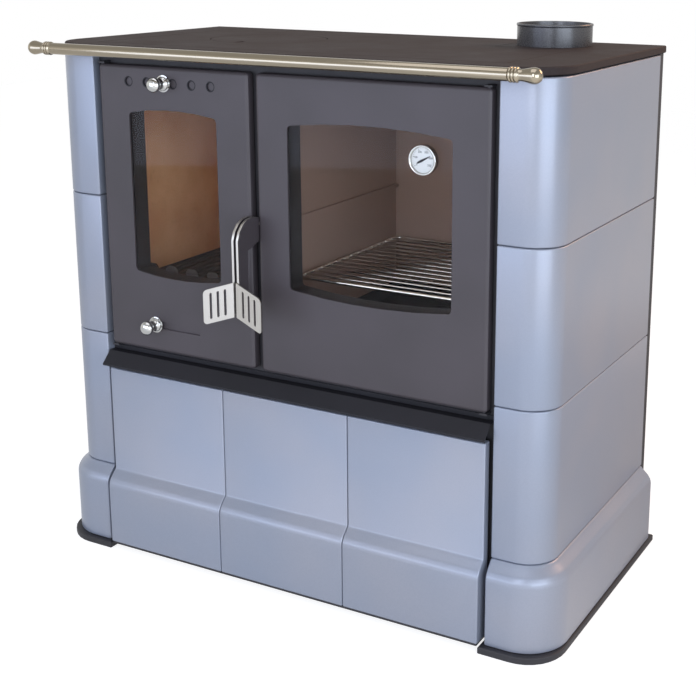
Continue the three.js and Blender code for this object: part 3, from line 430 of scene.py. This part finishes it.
def tube_along(name, path, radius, material, body, sides=16, closed=False, **options):
    """A round rod along `path` (points in metres): a circle in the plane square to the
    path's direction at each point, capped flat at both ends when open."""
    path = np.asarray(path, float)
    step = np.roll(path, -1, 0) - np.roll(path, 1, 0) if closed else np.gradient(path, axis=0)
    direction = step / np.linalg.norm(step, axis=1, keepdims=True)
    helper = np.where(np.abs(direction[:, 2:3]) < 0.9, [[0.0, 0.0, 1.0]], [[1.0, 0.0, 0.0]])
    u = np.cross(direction, helper)
    u /= np.linalg.norm(u, axis=1, keepdims=True)
    v = np.cross(direction, u)
    a = np.linspace(0, 2 * np.pi, sides, endpoint=False)
    ring = radius * (np.cos(a)[None, :, None] * u[:, None] + np.sin(a)[None, :, None] * v[:, None])
    points = path[:, None] + ring
    faces = grid_faces(len(path), sides, wrap_rows=closed)
    if not closed:
        faces += [list(range(sides))[::-1], [(len(path) - 1) * sides + i for i in range(sides)]]
    return make_piece(name, points, faces, material, body, **options)


# %% [markdown]
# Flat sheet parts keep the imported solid's exact outline. A merged copy of the solid gets its
# edges broken with a small bevel, as every cut or folded sheet has, so each edge catches a
# thin line of light. A wide flat face beside a narrow bevel shades wrongly if every face
# counts the same, so each corner's normal is weighted by the area of the faces round it.


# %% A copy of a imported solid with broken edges
def finish_with(piece, kind, **settings):
    """Adds one modifier and bakes its result into the piece's mesh."""
    modifier = piece.modifiers.new(kind.lower(), kind)
    for key, value in settings.items():
        setattr(modifier, key, value)
    baked = bpy.data.meshes.new_from_object(piece.evaluated_get(bpy.context.evaluated_depsgraph_get()))
    piece.modifiers.clear()
    piece.data = baked


def eased(node, material, edge_mm=0.5, angle=30.0):
    """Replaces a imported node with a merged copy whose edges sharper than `angle` degrees are
    rounded over `edge_mm` (0 leaves them), shaded smooth across everything flatter than
    SMOOTH_BELOW degrees."""
    mesh = frame["nodes"][node].data.copy()
    mesh.name = node + "_eased"
    bm = bmesh.new()
    bm.from_mesh(mesh)
    bmesh.ops.remove_doubles(bm, verts=bm.verts, dist=1e-6)
    bmesh.ops.dissolve_limit(bm, angle_limit=math.radians(0.8), verts=bm.verts, edges=bm.edges)
    bm.to_mesh(mesh)
    bm.free()
    mesh.materials.clear()
    mesh.materials.append(material)
    piece = bpy.data.objects.new(node + "_eased", mesh)
    bpy.context.scene.collection.objects.link(piece)
    if edge_mm:
        finish_with(piece, "BEVEL", width=edge_mm * 0.001, segments=2, limit_method="ANGLE",
                    angle_limit=math.radians(angle), use_clamp_overlap=True)
    piece.data.polygons.foreach_set("use_smooth", [True] * len(piece.data.polygons))
    piece.data.set_sharp_from_angle(angle=math.radians(SMOOTH_BELOW))
    finish_with(piece, "WEIGHTED_NORMAL", keep_sharp=True, weight=50)
    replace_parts(piece, node)
    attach(piece, body_of_node[node])
    return piece


# %% [markdown]
# ## The ceramic columns
#
# Seen from above, one tile is a strip that runs along the front, turns a quarter circle and
# runs back along the side. The glaze pools over its rims, so every edge is rounded by about
# two millimetres. The plinth block has the same outline pushed outwards, and its face swings
# out from the joint in a soft S.

# %% Outline and foot profile
HALF, DEPTH = 442.0, 430.0       # outer side face from the middle, and rear edge, in mm
WALL, INNER, CORNER = 16.0, 356.0, 50.0
FOOT_REACH = 18.7                # how far the plinth stands out
RIM = 2.4                        # radius of the glazed rims
EDGE = np.linspace(0, np.pi / 2, 6)
TURN_IN, RISE = RIM - RIM * np.sin(EDGE), RIM - RIM * np.cos(EDGE)


def column_outline(out, inset):
    """Points round one column from above, anticlockwise, for the right-hand side: the front
    face at -out, a corner of radius 50 + out, the side face, and back along the inner wall.
    `out` and `inset` are arrays over the levels of the tile."""
    out, inset = np.asarray(out, float)[:, None], np.asarray(inset, float)[:, None]
    quarter = np.linspace(-np.pi / 2, 0, 40)[None]
    x0, y1 = INNER + inset, DEPTH - inset
    start = np.stack(np.broadcast_arrays(x0 + TURN_IN[::-1], -out + RISE[::-1]), -1)
    corner_r = CORNER + out
    corner = np.stack([HALF - CORNER + corner_r * np.cos(quarter),
                       CORNER + corner_r * np.sin(quarter)], -1)
    end = np.stack(np.broadcast_arrays(HALF + out - RISE, y1 - TURN_IN), -1)
    inner_r = CORNER - WALL + 0 * out
    inner = np.stack([HALF - CORNER + inner_r * np.cos(quarter[:, ::-1]),
                      CORNER + inner_r * np.sin(quarter[:, ::-1])], -1)
    back = np.stack(np.broadcast_arrays(HALF - WALL + 0 * y1, y1), -1)
    foot = np.stack(np.broadcast_arrays(x0, WALL + 0 * x0), -1)
    return np.concatenate([start, corner, end, back, inner, foot], 1)


FOOT_Z = np.array([116.0, 122.0, 129.0, 140.0, 143.0])
FOOT_OUT = np.array([1.0, 0.94, 0.72, 0.1, 0.0])


def swing(z):
    """Share of the foot's reach at height z: the foot's five levels joined by straight lines
    and then smoothed with a bell-shaped window 6 mm wide."""
    fine = np.linspace(FOOT_Z[0], FOOT_Z[-1], 60)
    shape = np.interp(fine, FOOT_Z, FOOT_OUT)
    kernel = np.hanning(13)
    soft = np.convolve(np.pad(shape, 6, mode="edge"), kernel / kernel.sum(), "valid")
    return np.interp(z, fine, soft, left=1.0, right=0.0)


FOOT_LEVELS = np.linspace(FOOT_Z[0] - 4, FOOT_Z[-1], 24)


def soft_levels(z0, z1, extra=()):
    """Heights from z0 to z1 with rounded ends, and how far the rim is drawn in at each."""
    inside = np.array([z for z in extra if z0 + RIM < z < z1 - RIM])
    z = np.concatenate([z0 + RISE, inside, (z1 - RISE)[::-1]])
    return z, np.concatenate([TURN_IN, 0 * inside, TURN_IN[::-1]])


def raised(flat, z):
    """Rings of points in metres from plan points[level, point, xy] and a height per level."""
    heights = np.broadcast_to(z[:, None, None], flat.shape[:2] + (1,))
    return np.concatenate([flat, heights], -1) * 0.001


# %% The eight column pieces
def column_piece(node, side, z0, z1, reach=0.0):
    """One glazed piece of a column between two heights; the foot swings out by `reach`."""
    z, soft = soft_levels(z0, z1, FOOT_LEVELS if reach else ())
    rings = raised(column_outline(reach * swing(z) - soft if reach else -soft, soft), z)
    rings = rings * [side, 1.0, 1.0] + [0.0, FACE_Y, 0.0]
    piece = stack_of_rings(node + "_glazed", rings, glaze, body_of_node[node], smooth_angle=40)
    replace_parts(piece, node)
    return piece


for label, side in (("left", -1), ("right", 1)):
    lo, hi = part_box("plinth_" + label)
    column_piece("plinth_" + label, side, lo[2] * 1000, hi[2] * 1000, reach=FOOT_REACH)
    for course in (1, 2, 3):
        lo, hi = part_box(f"tile_{label}_{course}")
        column_piece(f"tile_{label}_{course}", side, lo[2] * 1000, hi[2] * 1000)

# %% The three drawer tiles
for i in (1, 2, 3):
    node = f"drawer_tile_{i}"
    lo, hi = (np.array(c) * 1000 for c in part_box(node))
    z, soft = soft_levels(lo[2], hi[2], FOOT_LEVELS)
    face_y = (lo[1] + FOOT_REACH - FOOT_REACH * swing(z) + soft)[:, None]
    x0, x1 = (lo[0] + 0.5 * soft)[:, None], (hi[0] - 0.5 * soft)[:, None]
    left_edge = np.stack([x0 + TURN_IN[::-1], face_y + RISE[::-1]], -1)
    right_edge = np.stack([x1 - TURN_IN, face_y + RISE], -1)
    back_y = hi[1] + 0 * face_y
    rear = np.stack([np.concatenate([x1, x0], 1), np.concatenate([back_y, back_y], 1)], -1)
    rings = raised(np.concatenate([left_edge, right_edge, rear], 1), z)
    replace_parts(stack_of_rings(node + "_glazed", rings, glaze, "drawer", smooth_angle=40), node)

# %% [markdown]
# ## Sheet and cast parts
#
# The doors, the lip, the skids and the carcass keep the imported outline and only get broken
# edges and their finish. Castings get a rounder edge than folded sheet.

# %% Broken edges and finishes
SHEET_PARTS = {
    stove_paint: ["fire_door", "oven_door", "upper_air_slide", "lower_air_slide"],
    lip_paint: ["drawer_lip"],
    black_paint: ["skid_left", "skid_right", "base_plate", "side_panel_left", "side_panel_right",
                  "back_panel", "front_frame", "firebox_shell", "ash_pan", "fire_door_skirt",
                  "oven_door_skirt", "drawer_box"],
    firebrick: ["firebrick_left", "firebrick_right", "firebrick_back"],
    oven_enamel: ["oven_box"],
    tray_enamel: ["oven_tray"],
    rope_fibre: ["fire_door_rope", "oven_door_rope"],
    pane_glass: ["fire_door_glass", "oven_door_glass"],
    brushed: ["fire_door_grip", "oven_door_grip", "fire_door_lever_pin", "oven_door_lever_pin"],
}
for material, nodes in SHEET_PARTS.items():
    for node in nodes:
        eased(node, material)
for node in ("hob_frame", "hob_plate", "hob_lid", "fire_grate", "fire_guard"):
    eased(node, cast_iron, 0.7, angle=40)

# %% [markdown]
# Each lever is cut from thick steel plate. Its two wide faces are painted, and its cut edges
# are ground bright, so the faces that look sideways take the paint and all others the metal.

# %% Painted levers with bright edges
for node in ("fire_door_lever", "oven_door_lever"):
    lever = eased(node, stove_paint)
    lever.data.materials.append(brushed)
    normals = np.empty(len(lever.data.polygons) * 3, np.float32)
    lever.data.polygons.foreach_get("normal", normals)
    bright = np.abs(normals.reshape(-1, 3)[:, 0]) < 0.9
    lever.data.polygons.foreach_set("material_index", bright.astype(np.int32))
    print(node, "bright faces", int(bright.sum()), "of", len(bright))

# %% [markdown]
# ## Turned parts
#
# The flue collar, rail, finials, knobs and gauge are round, so each is a profile turned about
# its axis.

# %% Flue collar
lo, hi = (np.array(c) * 1000 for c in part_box("flue_collar"))
collar_axis = np.array([(lo[0] + hi[0]) / 2, (lo[1] + hi[1]) / 2, 0.0]) * 0.001
z0, z1, r0 = lo[2], hi[2], (hi[0] - lo[0]) / 2
COLLAR_WALL, BEAD = 3.0, 1.0
r1 = r0 - BEAD
collar_in = r1 - COLLAR_WALL
piece = turned_piece("flue_collar_turned", [
    (collar_in, z0), (r1, z0), (r1, z0 + 0.1), (r1, z1 - 4.2), (r1 + 0.7, z1 - 3.6), (r0, z1 - 2.6),
    (r0, z1 - 1.6), (r1 + 0.8, z1 - 0.7), (r1 + 0.2, z1 - 0.15), (r1 - 0.6, z1), (collar_in + 0.6, z1),
    (collar_in + 0.1, z1 - 0.3), (collar_in, z1 - 0.9), (collar_in, z0)],
    collar_axis, (0, 0, 1), collar_paint, "stove", sides=128)
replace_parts(piece, "flue_collar")
print("collar radius", round(r0, 2), "height", round(z1 - z0, 2))

# %% Towel rail
rail_lo, rail_hi = (np.array(c) * 1000 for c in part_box("rail_tube"))
RAIL_R, POST_X, POST_R = 9.0, 325.0, 5.5
rail_y, rail_z = rail_lo[1] + RAIL_R, (rail_lo[2] + rail_hi[2]) / 2
rail_start = np.array([rail_lo[0], rail_y, rail_z]) * 0.001
length = rail_hi[0] - rail_lo[0]
piece = turned_piece("rail_tube_polished", [
    (0, 0), (RAIL_R - 0.3, 0), (RAIL_R, 0.3), (RAIL_R, length - 0.3), (RAIL_R - 0.3, length), (0, length)],
    rail_start, (1, 0, 0), rail_plating, "stove", sides=72)
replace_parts(piece, "rail_tube")
post_len = rail_hi[1] - rail_y
for label, side in (("left", -1), ("right", 1)):
    turned_piece(f"rail_post_{label}", [
        (0, RAIL_R - 1.0), (POST_R, RAIL_R - 1.0), (POST_R, post_len - 0.4), (POST_R - 0.4, post_len),
        (0, post_len)],
        np.array([side * POST_X, rail_y, rail_z]) * 0.001, (0, 1, 0), rail_plating, "stove", sides=32)
print("rail length", round(length, 1))


# %% Finials
RING = [(8.7, 0.0), (9.7, 0.25), (10.3, 0.9), (10.5, 1.9), (10.3, 2.9), (9.7, 3.6), (8.7, 3.9)]
RING_STARTS = (0.9, 5.3, 9.7)
CONE = [(8.0, 15.2), (7.9, 17.0), (8.3, 21.0), (9.3, 26.0), (10.3, 30.5)]
BALL_R, END_GAP = 11.0, 0.3


def finial_profile(size):
    """Radius against distance from the rail's end: three rings with half-round edges, a
    waisted cone and a ball of radius BALL_R whose top is at `size`, all in mm."""
    rings = [(radius, start + reach) for start in RING_STARTS for radius, reach in RING]
    a = np.linspace(-0.2, np.pi / 2, 16)
    ball = list(zip(BALL_R * np.cos(a), size - BALL_R + BALL_R * np.sin(a)))
    return [(0, END_GAP), (8.4, END_GAP)] + rings + CONE + ball


for label, side in (("left", -1), ("right", 1)):
    node = "rail_finial_" + label
    lo, hi = (np.array(c) * 1000 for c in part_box(node))
    inner = (hi[0] if side < 0 else lo[0]) - side * END_GAP
    size = (hi[0] - lo[0]) + END_GAP
    piece = turned_piece(node + "_turned", finial_profile(size),
                         np.array([inner, rail_y, rail_z]) * 0.001, (side, 0, 0), rail_plating, "stove",
                         smooth_angle=50)
    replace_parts(piece, node)
    print(node, "size", round(size, 2))

# %% [markdown]
# Each air slide has a turned knob: a flat rosette with a stepped rim, a waisted neck and a
# broad head with a chamfered, slightly domed face.

# %% Knobs of the two air slides
KNOB = [
    (0, 0), (2.4, 0), (2.4, 3.1), (13.1, 3.1), (13.5, 3.4), (13.5, 4.2), (13.2, 4.7), (11.2, 5.0),
    (10.9, 5.5), (10.8, 5.9), (10.8, 7.0), (10.4, 7.7), (9.0, 8.5), (7.7, 9.7), (6.6, 11.5), (6.1, 13.6),
    (6.0, 15.6), (6.2, 17.8), (6.6, 20.0), (7.4, 22.0), (8.6, 23.3), (10.6, 24.1), (11.4, 24.5),
    (11.6, 25.1), (11.6, 28.6), (11.3, 29.4), (10.0, 31.1), (8.6, 32.6), (7.6, 33.4), (5.6, 34.2),
    (3.0, 34.8), (0, 35.0)]
for label in ("upper", "lower"):
    node = label + "_air_knob"
    lo, hi = (np.array(c) * 1000 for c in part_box(node))
    back = np.array([(lo[0] + hi[0]) / 2, hi[1], (lo[2] + hi[2]) / 2]) * 0.001
    piece = turned_piece(node + "_turned", KNOB, back, (0, -1, 0), chrome, body_of_node[node],
                         smooth_angle=50)
    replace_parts(piece, node)
    print(node, "reach", round(hi[1] - lo[1], 2))

# %% [markdown]
# The five round air holes of the fire door are countersunk. The shade inside each countersink is
# painted as a thin black ring round the paint of the slide behind it.

# %% Black rings of painted shade in the air holes
HOLE_X, HOLE_Z, HOLE_R = (-284.0, -248.0, -197.0, -161.0, -125.0), 803.6, 8.3
RING_FRONT, RING_BACK, RING_FIT, RING_WIDTH = 0.12, 2.4, 0.05, 1.7
RING_OUT, RING_IN = HOLE_R - RING_FIT, HOLE_R - RING_WIDTH
SHADE_RING_PROFILE = [(RING_OUT, RING_FRONT), (RING_OUT, RING_BACK), (RING_IN, RING_BACK),
              (RING_IN - 0.2, 0.35), (RING_IN, RING_FRONT), (RING_OUT, RING_FRONT)]
# Painted shade: each ring is black paint set where the countersink falls in shade.
for i, x in enumerate(HOLE_X):
    turned_piece(f"air_hole_rim_{i + 1}", SHADE_RING_PROFILE, at(x, 0.0, HOLE_Z), (0, 1, 0), lip_paint, "fire_door",
                 sides=48)

# %% [markdown]
# ## The oven gauge
#
# A small dial thermometer stands on the oven pane: a chromed cup with a broad bezel, a white
# card sunk four millimetres behind it with a scale of plain numbers, and a black needle.

# %% Case and card
lo, hi = (np.array(c) * 1000 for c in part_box("gauge_case"))
gauge_at = np.array([(lo[0] + hi[0]) / 2, hi[1], (lo[2] + hi[2]) / 2]) * 0.001
depth, case_r = hi[1] - lo[1], (hi[0] - lo[0]) / 2
CARD_R, CARD_SUNK, CARD_T = 18.3, 4.0, 0.9
card_s = depth - CARD_SUNK
piece = turned_piece("gauge_case_turned", [
    (0, 0), (case_r - 0.6, 0), (case_r - 0.4, 0.4), (case_r - 0.4, depth - 3.4), (case_r, depth - 3.0),
    (case_r, depth - 1.0), (case_r - 0.3, depth - 0.4), (case_r - 0.9, depth), (case_r - 1.5, depth),
    (CARD_R + 0.7, depth - 0.5), (CARD_R + 0.3, depth - 1.0), (CARD_R + 0.2, depth - 1.6),
    (CARD_R + 0.2, card_s - CARD_T - 0.1), (0, card_s - CARD_T - 0.1)],
    gauge_at, (0, -1, 0), chrome, "oven_door", sides=96, smooth_angle=50)
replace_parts(piece, "gauge_case")
piece = turned_piece("gauge_card", [(0, card_s - CARD_T), (CARD_R, card_s - CARD_T), (CARD_R, card_s - 0.05),
                                    (CARD_R - 0.1, card_s), (0, card_s)],
                     gauge_at, (0, -1, 0), dial_card, "oven_door", sides=72)
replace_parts(piece, "gauge_dial")
eased("gauge_needle", ink, 0.0)
print("gauge radius", round(case_r, 2), "depth", round(depth, 2))


# %% Marks and numbers on the card
INK_T = 0.00008                # thickness of the printed ink, in metres
NUMBER_SIZE, NUMBER_RADIUS = 0.0042, 12.2
LONG_TICK, SHORT_TICK = (0.5, 2.8, 15.8), (0.28, 1.6, 16.4)     # width, height, radius in mm
SWEEP, TICKS, MAJOR_EVERY, FULL_SCALE = math.radians(250), 25, 5, 500


def on_dial(name, mesh, radius_mm, angle):
    """Inks and moves a flat mesh drawn in XY about its own middle onto the card: turned upright, at
    `radius_mm` from the centre in the direction `angle` (0 is up, clockwise)."""
    y = gauge_at[1] - (card_s + 0.02) * 0.001
    x = gauge_at[0] + radius_mm * 0.001 * math.sin(angle)
    z = gauge_at[2] + radius_mm * 0.001 * math.cos(angle)
    mesh.transform(Matrix.Translation((x, y, z)) @ Matrix.Rotation(math.pi / 2, 4, "X"))
    mesh.materials.clear()
    mesh.materials.append(ink)
    mark = bpy.data.objects.new(name, mesh)
    bpy.context.scene.collection.objects.link(mark)
    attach(mark, "oven_door")


def stroke(width, height, angle):
    """A thin flat bar, width x height mm, turned clockwise by `angle`, as a new mesh."""
    c, s = math.cos(angle), math.sin(angle)
    corners = np.array([[-1, -1], [1, -1], [1, 1], [-1, 1]]) * [width / 2, height / 2] * 0.001
    turned_xy = corners @ np.array([[c, -s], [s, c]])
    slab = [(x, y, z) for z in (0.0, INK_T) for x, y in turned_xy]
    m = bpy.data.meshes.new("stroke")
    m.from_pydata(slab, [], [(3, 2, 1, 0), (4, 5, 6, 7), (0, 1, 5, 4), (1, 2, 6, 5), (2, 3, 7, 6),
                             (3, 0, 4, 7)])
    return m


for i in range(TICKS + 1):
    angle = SWEEP * (i / TICKS - 0.5)
    major = i % MAJOR_EVERY == 0
    width, height, radius = LONG_TICK if major else SHORT_TICK
    on_dial(f"gauge_tick_{i}", stroke(width, height, angle), radius, angle)
    if major:
        text = bpy.data.curves.new(f"gauge_number_{i}", "FONT")
        text.body = str(FULL_SCALE * i // TICKS)
        text.size, text.extrude = NUMBER_SIZE, INK_T / 2
        text.align_x, text.align_y = "CENTER", "CENTER"
        holder = bpy.data.objects.new("text_holder", text)
        bpy.context.scene.collection.objects.link(holder)
        flat = bpy.data.meshes.new_from_object(holder.evaluated_get(bpy.context.evaluated_depsgraph_get()))
        bpy.data.objects.remove(holder)
        on_dial(f"gauge_number_{i}", flat, NUMBER_RADIUS, angle)

# %% [markdown]
# ## The oven rack
#
# A frame of thick wire carries thirteen thin wires across. Each wire is a rod along its own
# path; the frame is one closed path with rounded corners.

# %% Rack wires
lo, hi = (np.array(c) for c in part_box("oven_rack"))
FRAME_R, BEND_R, WIRES, WIRE_R = 0.003, 0.012, 13, 0.0017
mid_z = (lo[2] + hi[2]) / 2
arc = np.linspace(0, np.pi / 2, 9)
near, far = lo + FRAME_R + BEND_R, hi - FRAME_R - BEND_R
bends = [(far[0], near[1], -np.pi / 2), (far[0], far[1], 0), (near[0], far[1], np.pi / 2),
         (near[0], near[1], np.pi)]
loop = np.concatenate([
    np.stack([x + BEND_R * np.cos(a0 + arc), y + BEND_R * np.sin(a0 + arc), mid_z + 0 * arc], -1)
    for x, y, a0 in bends])
piece = tube_along("oven_rack_frame", loop, FRAME_R, rack_wire, "stove", closed=True, smooth_angle=60)
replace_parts(piece, "oven_rack")
for i in range(WIRES):
    y = lo[1] + (hi[1] - lo[1]) * (i + 1) / (WIRES + 1)
    path = np.stack([np.linspace(lo[0] + 0.002, hi[0] - 0.002, 3), np.full(3, y),
                     np.full(3, mid_z + 0.001)], -1)
    tube_along(f"oven_rack_wire_{i + 1}", path, WIRE_R, rack_wire, "stove", sides=12, smooth_angle=60)
print("rack", [round(float(v), 4) for v in (*lo, *hi)])

# %% [markdown]
# ## Screws of the rear pan
#
# The rear pan is screwed to the carcass round its rim. A low round head with a small round
# socket is one short profile turned once and set at equal steps up both sides.

# %% Rear screws
lo, hi = (np.array(c) * 1000 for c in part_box("back_panel"))
SCREWS_A_SIDE, FROM_END, FROM_SIDE = 5, 30.0, 14.0
SCREW = [(0, 0.05), (4.6, 0.05), (4.9, 0.4), (4.5, 1.2), (3.4, 1.8), (2.3, 2.0), (2.0, 1.9), (1.9, 0.9),
         (0, 0.9)]
for label, side in (("left", -1), ("right", 1)):
    for i, z in enumerate(np.linspace(lo[2] + FROM_END, hi[2] - FROM_END, SCREWS_A_SIDE)):
        at_rim = np.array([side * (hi[0] - FROM_SIDE), hi[1], z]) * 0.001
        turned_piece(f"rear_screw_{label}_{i + 1}", SCREW, at_rim, (0, 1, 0), zinc, "stove", sides=24,
                     smooth_angle=50)
print("rear pan", lo.round(1), hi.round(1))

# %% [markdown]
# ## Studio
#
# A pale floor, a white surround and five large soft lamps: a cool key from the front, a wide
# cool wall of light at the front right that draws the highlight down the rounded corner, a
# warm one from the right rear for the side, a cool fill from the left and a broad one above.
# Floor and surround are white to the camera; the light that falls on the stove comes from the
# lamps and a much dimmer surround.


# %% Seen directly, or in gloss and glass
def seen_bright(tree, in_gloss):
    """Socket that is 1 for a ray from the camera or through a pane, `in_gloss` (a number or
    a socket) for a ray that left a glossy surface, and otherwise 0."""
    path = add(tree, "ShaderNodeLightPath")
    gloss = add(tree, "ShaderNodeMath",
                {0: path.outputs["Is Glossy Ray"], 1: in_gloss}, operation="MULTIPLY")
    direct = add(tree, "ShaderNodeMath",
                 {0: path.outputs["Is Camera Ray"], 1: path.outputs["Is Transmission Ray"]},
                 operation="MAXIMUM")
    both = add(tree, "ShaderNodeMath", {0: direct.outputs[0], 1: gloss.outputs[0]}, operation="MAXIMUM")
    return both.outputs[0]


# %% [markdown]
# In reflections the floor is darker beside the stove, where the stove shades it, and lighter in
# front of the right-hand corner, where the wall of light falls on it.

# %% Floor
SHADED_SPOT = (0.7, 0.8, 0.0)          # middle of the shade, in metres
LIT_WAY = (0.83, -0.55, 0.0)           # from the stove's middle towards the lit floor
FLOOR_GLOW, FLOOR_HALF = 0.85, 6.0
floor_mat, t, shader, obj = start_material("pale_floor", "#ADADAD", Roughness=0.7)
from_shade = add(t, "ShaderNodeVectorMath", {0: obj, 1: SHADED_SPOT}, operation="DISTANCE")
shade_share = add(t, "ShaderNodeMapRange", {0: from_shade.outputs["Value"], 1: 0.4, 2: 1.1, 3: 0.4, 4: 1.0})
lit_way = add(t, "ShaderNodeVectorMath", {0: obj, 1: LIT_WAY}, operation="DOT_PRODUCT")
lit_share = add(t, "ShaderNodeMapRange", {0: lit_way.outputs["Value"], 1: 0.35, 2: 0.65, 3: 0.65, 4: 1.0})
in_gloss = add(t, "ShaderNodeMath",
               {0: shade_share.outputs[0], 1: lit_share.outputs[0]}, operation="MULTIPLY")
seen = add(t, "ShaderNodeMath",
           {0: seen_bright(t, in_gloss.outputs[0]), 1: FLOOR_GLOW}, operation="MULTIPLY")
shader.inputs["Emission Color"].default_value = (1, 1, 1, 1)
t.links.new(seen.outputs[0], shader.inputs["Emission Strength"])
mesh = bpy.data.meshes.new("floor")
mesh.from_pydata([(x * FLOOR_HALF, y * FLOOR_HALF, 0) for x, y in ((-1, -1), (1, -1), (1, 1), (-1, 1))],
                 [], [(0, 1, 2, 3)])
mesh.materials.append(floor_mat)
floor = bpy.data.objects.new("floor", mesh)
bpy.context.scene.collection.objects.link(floor)

# %% [markdown]
# A studio is never equally bright all round. Overhead, and behind the stove to the right, the
# surround is dimmer in reflections: that gives the glazed side its deeper tone and the rail
# its darker upper half.

# %% Surround
world = bpy.data.worlds.new("studio_surround")
bpy.context.scene.world = world
world.use_nodes = True
t = world.node_tree
t.nodes.clear()
DIM_SIDE = (0.378, 0.926, 0.0)         # direction of the dimmer side: behind, a little right
sky_way = add(t, "ShaderNodeTexCoord").outputs["Generated"]
towards = add(t, "ShaderNodeVectorMath", {0: sky_way, 1: DIM_SIDE}, operation="DOT_PRODUCT")
side_share = add(t, "ShaderNodeMapRange", {0: towards.outputs["Value"], 1: 0.3, 2: 0.95, 3: 1.0, 4: 0.55})
up = add(t, "ShaderNodeSeparateXYZ", {0: sky_way})
top_share = add(t, "ShaderNodeMapRange", {0: up.outputs["Z"], 1: 0.15, 2: 0.6, 3: 1.0, 4: 0.45})
gloss_share = add(t, "ShaderNodeMath",
                  {0: side_share.outputs[0], 1: top_share.outputs[0]}, operation="MINIMUM")
strength = add(t, "ShaderNodeMapRange", {0: seen_bright(t, gloss_share.outputs[0]), 3: 0.2, 4: 1.0})
sky = add(t, "ShaderNodeBackground", {"Color": (1, 1, 1, 1), "Strength": strength.outputs[0]})
add(t, "ShaderNodeOutputWorld", {"Surface": sky.outputs[0]})


# %% Lamps
def soft_lamp(name, place, target, width, height, watts, tint):
    """A flat lamp, width x height metres, at `place` and turned to face `target`."""
    data = bpy.data.lights.new(name, "AREA")
    data.shape, data.size, data.size_y = "RECTANGLE", width, height
    data.energy, data.color = watts, colour(tint)[:3]
    lamp = bpy.data.objects.new(name, data)
    lamp.location = place
    lamp.rotation_euler = (Vector(target) - Vector(place)).to_track_quat("-Z", "Y").to_euler()
    bpy.context.scene.collection.objects.link(lamp)


soft_lamp("cool_key_lamp", (0.5, -3.0, 1.4), (0, 0, 0.6), 1.2, 1.8, 25, "#DFE9FF")
soft_lamp("corner_wall_lamp", (2.5, -1.7, 0.85), (0.4, -0.2, 0.45), 2.4, 1.6, 43, "#DAE7FB")
soft_lamp("warm_side_lamp", (1.5, 1.6, 1.9), (0.4, 0.0, 0.75), 1.2, 0.9, 21, "#FFC59A")
soft_lamp("cool_fill_lamp", (-1.3, -2.9, 0.8), (0, 0, 0.6), 2.2, 1.3, 22, "#CFDEFF")
soft_lamp("top_lamp", (0, -0.6, 3.0), (0, 0, 0.5), 2.2, 2.2, 18, "#F4F4FF")
bpy.context.scene.view_settings.view_transform = "Standard"

# %% [markdown]
# ## Finish
#
# The dressed stove must fill the same box as the imported model.

# %% Update the view layer
bpy.context.view_layer.update()
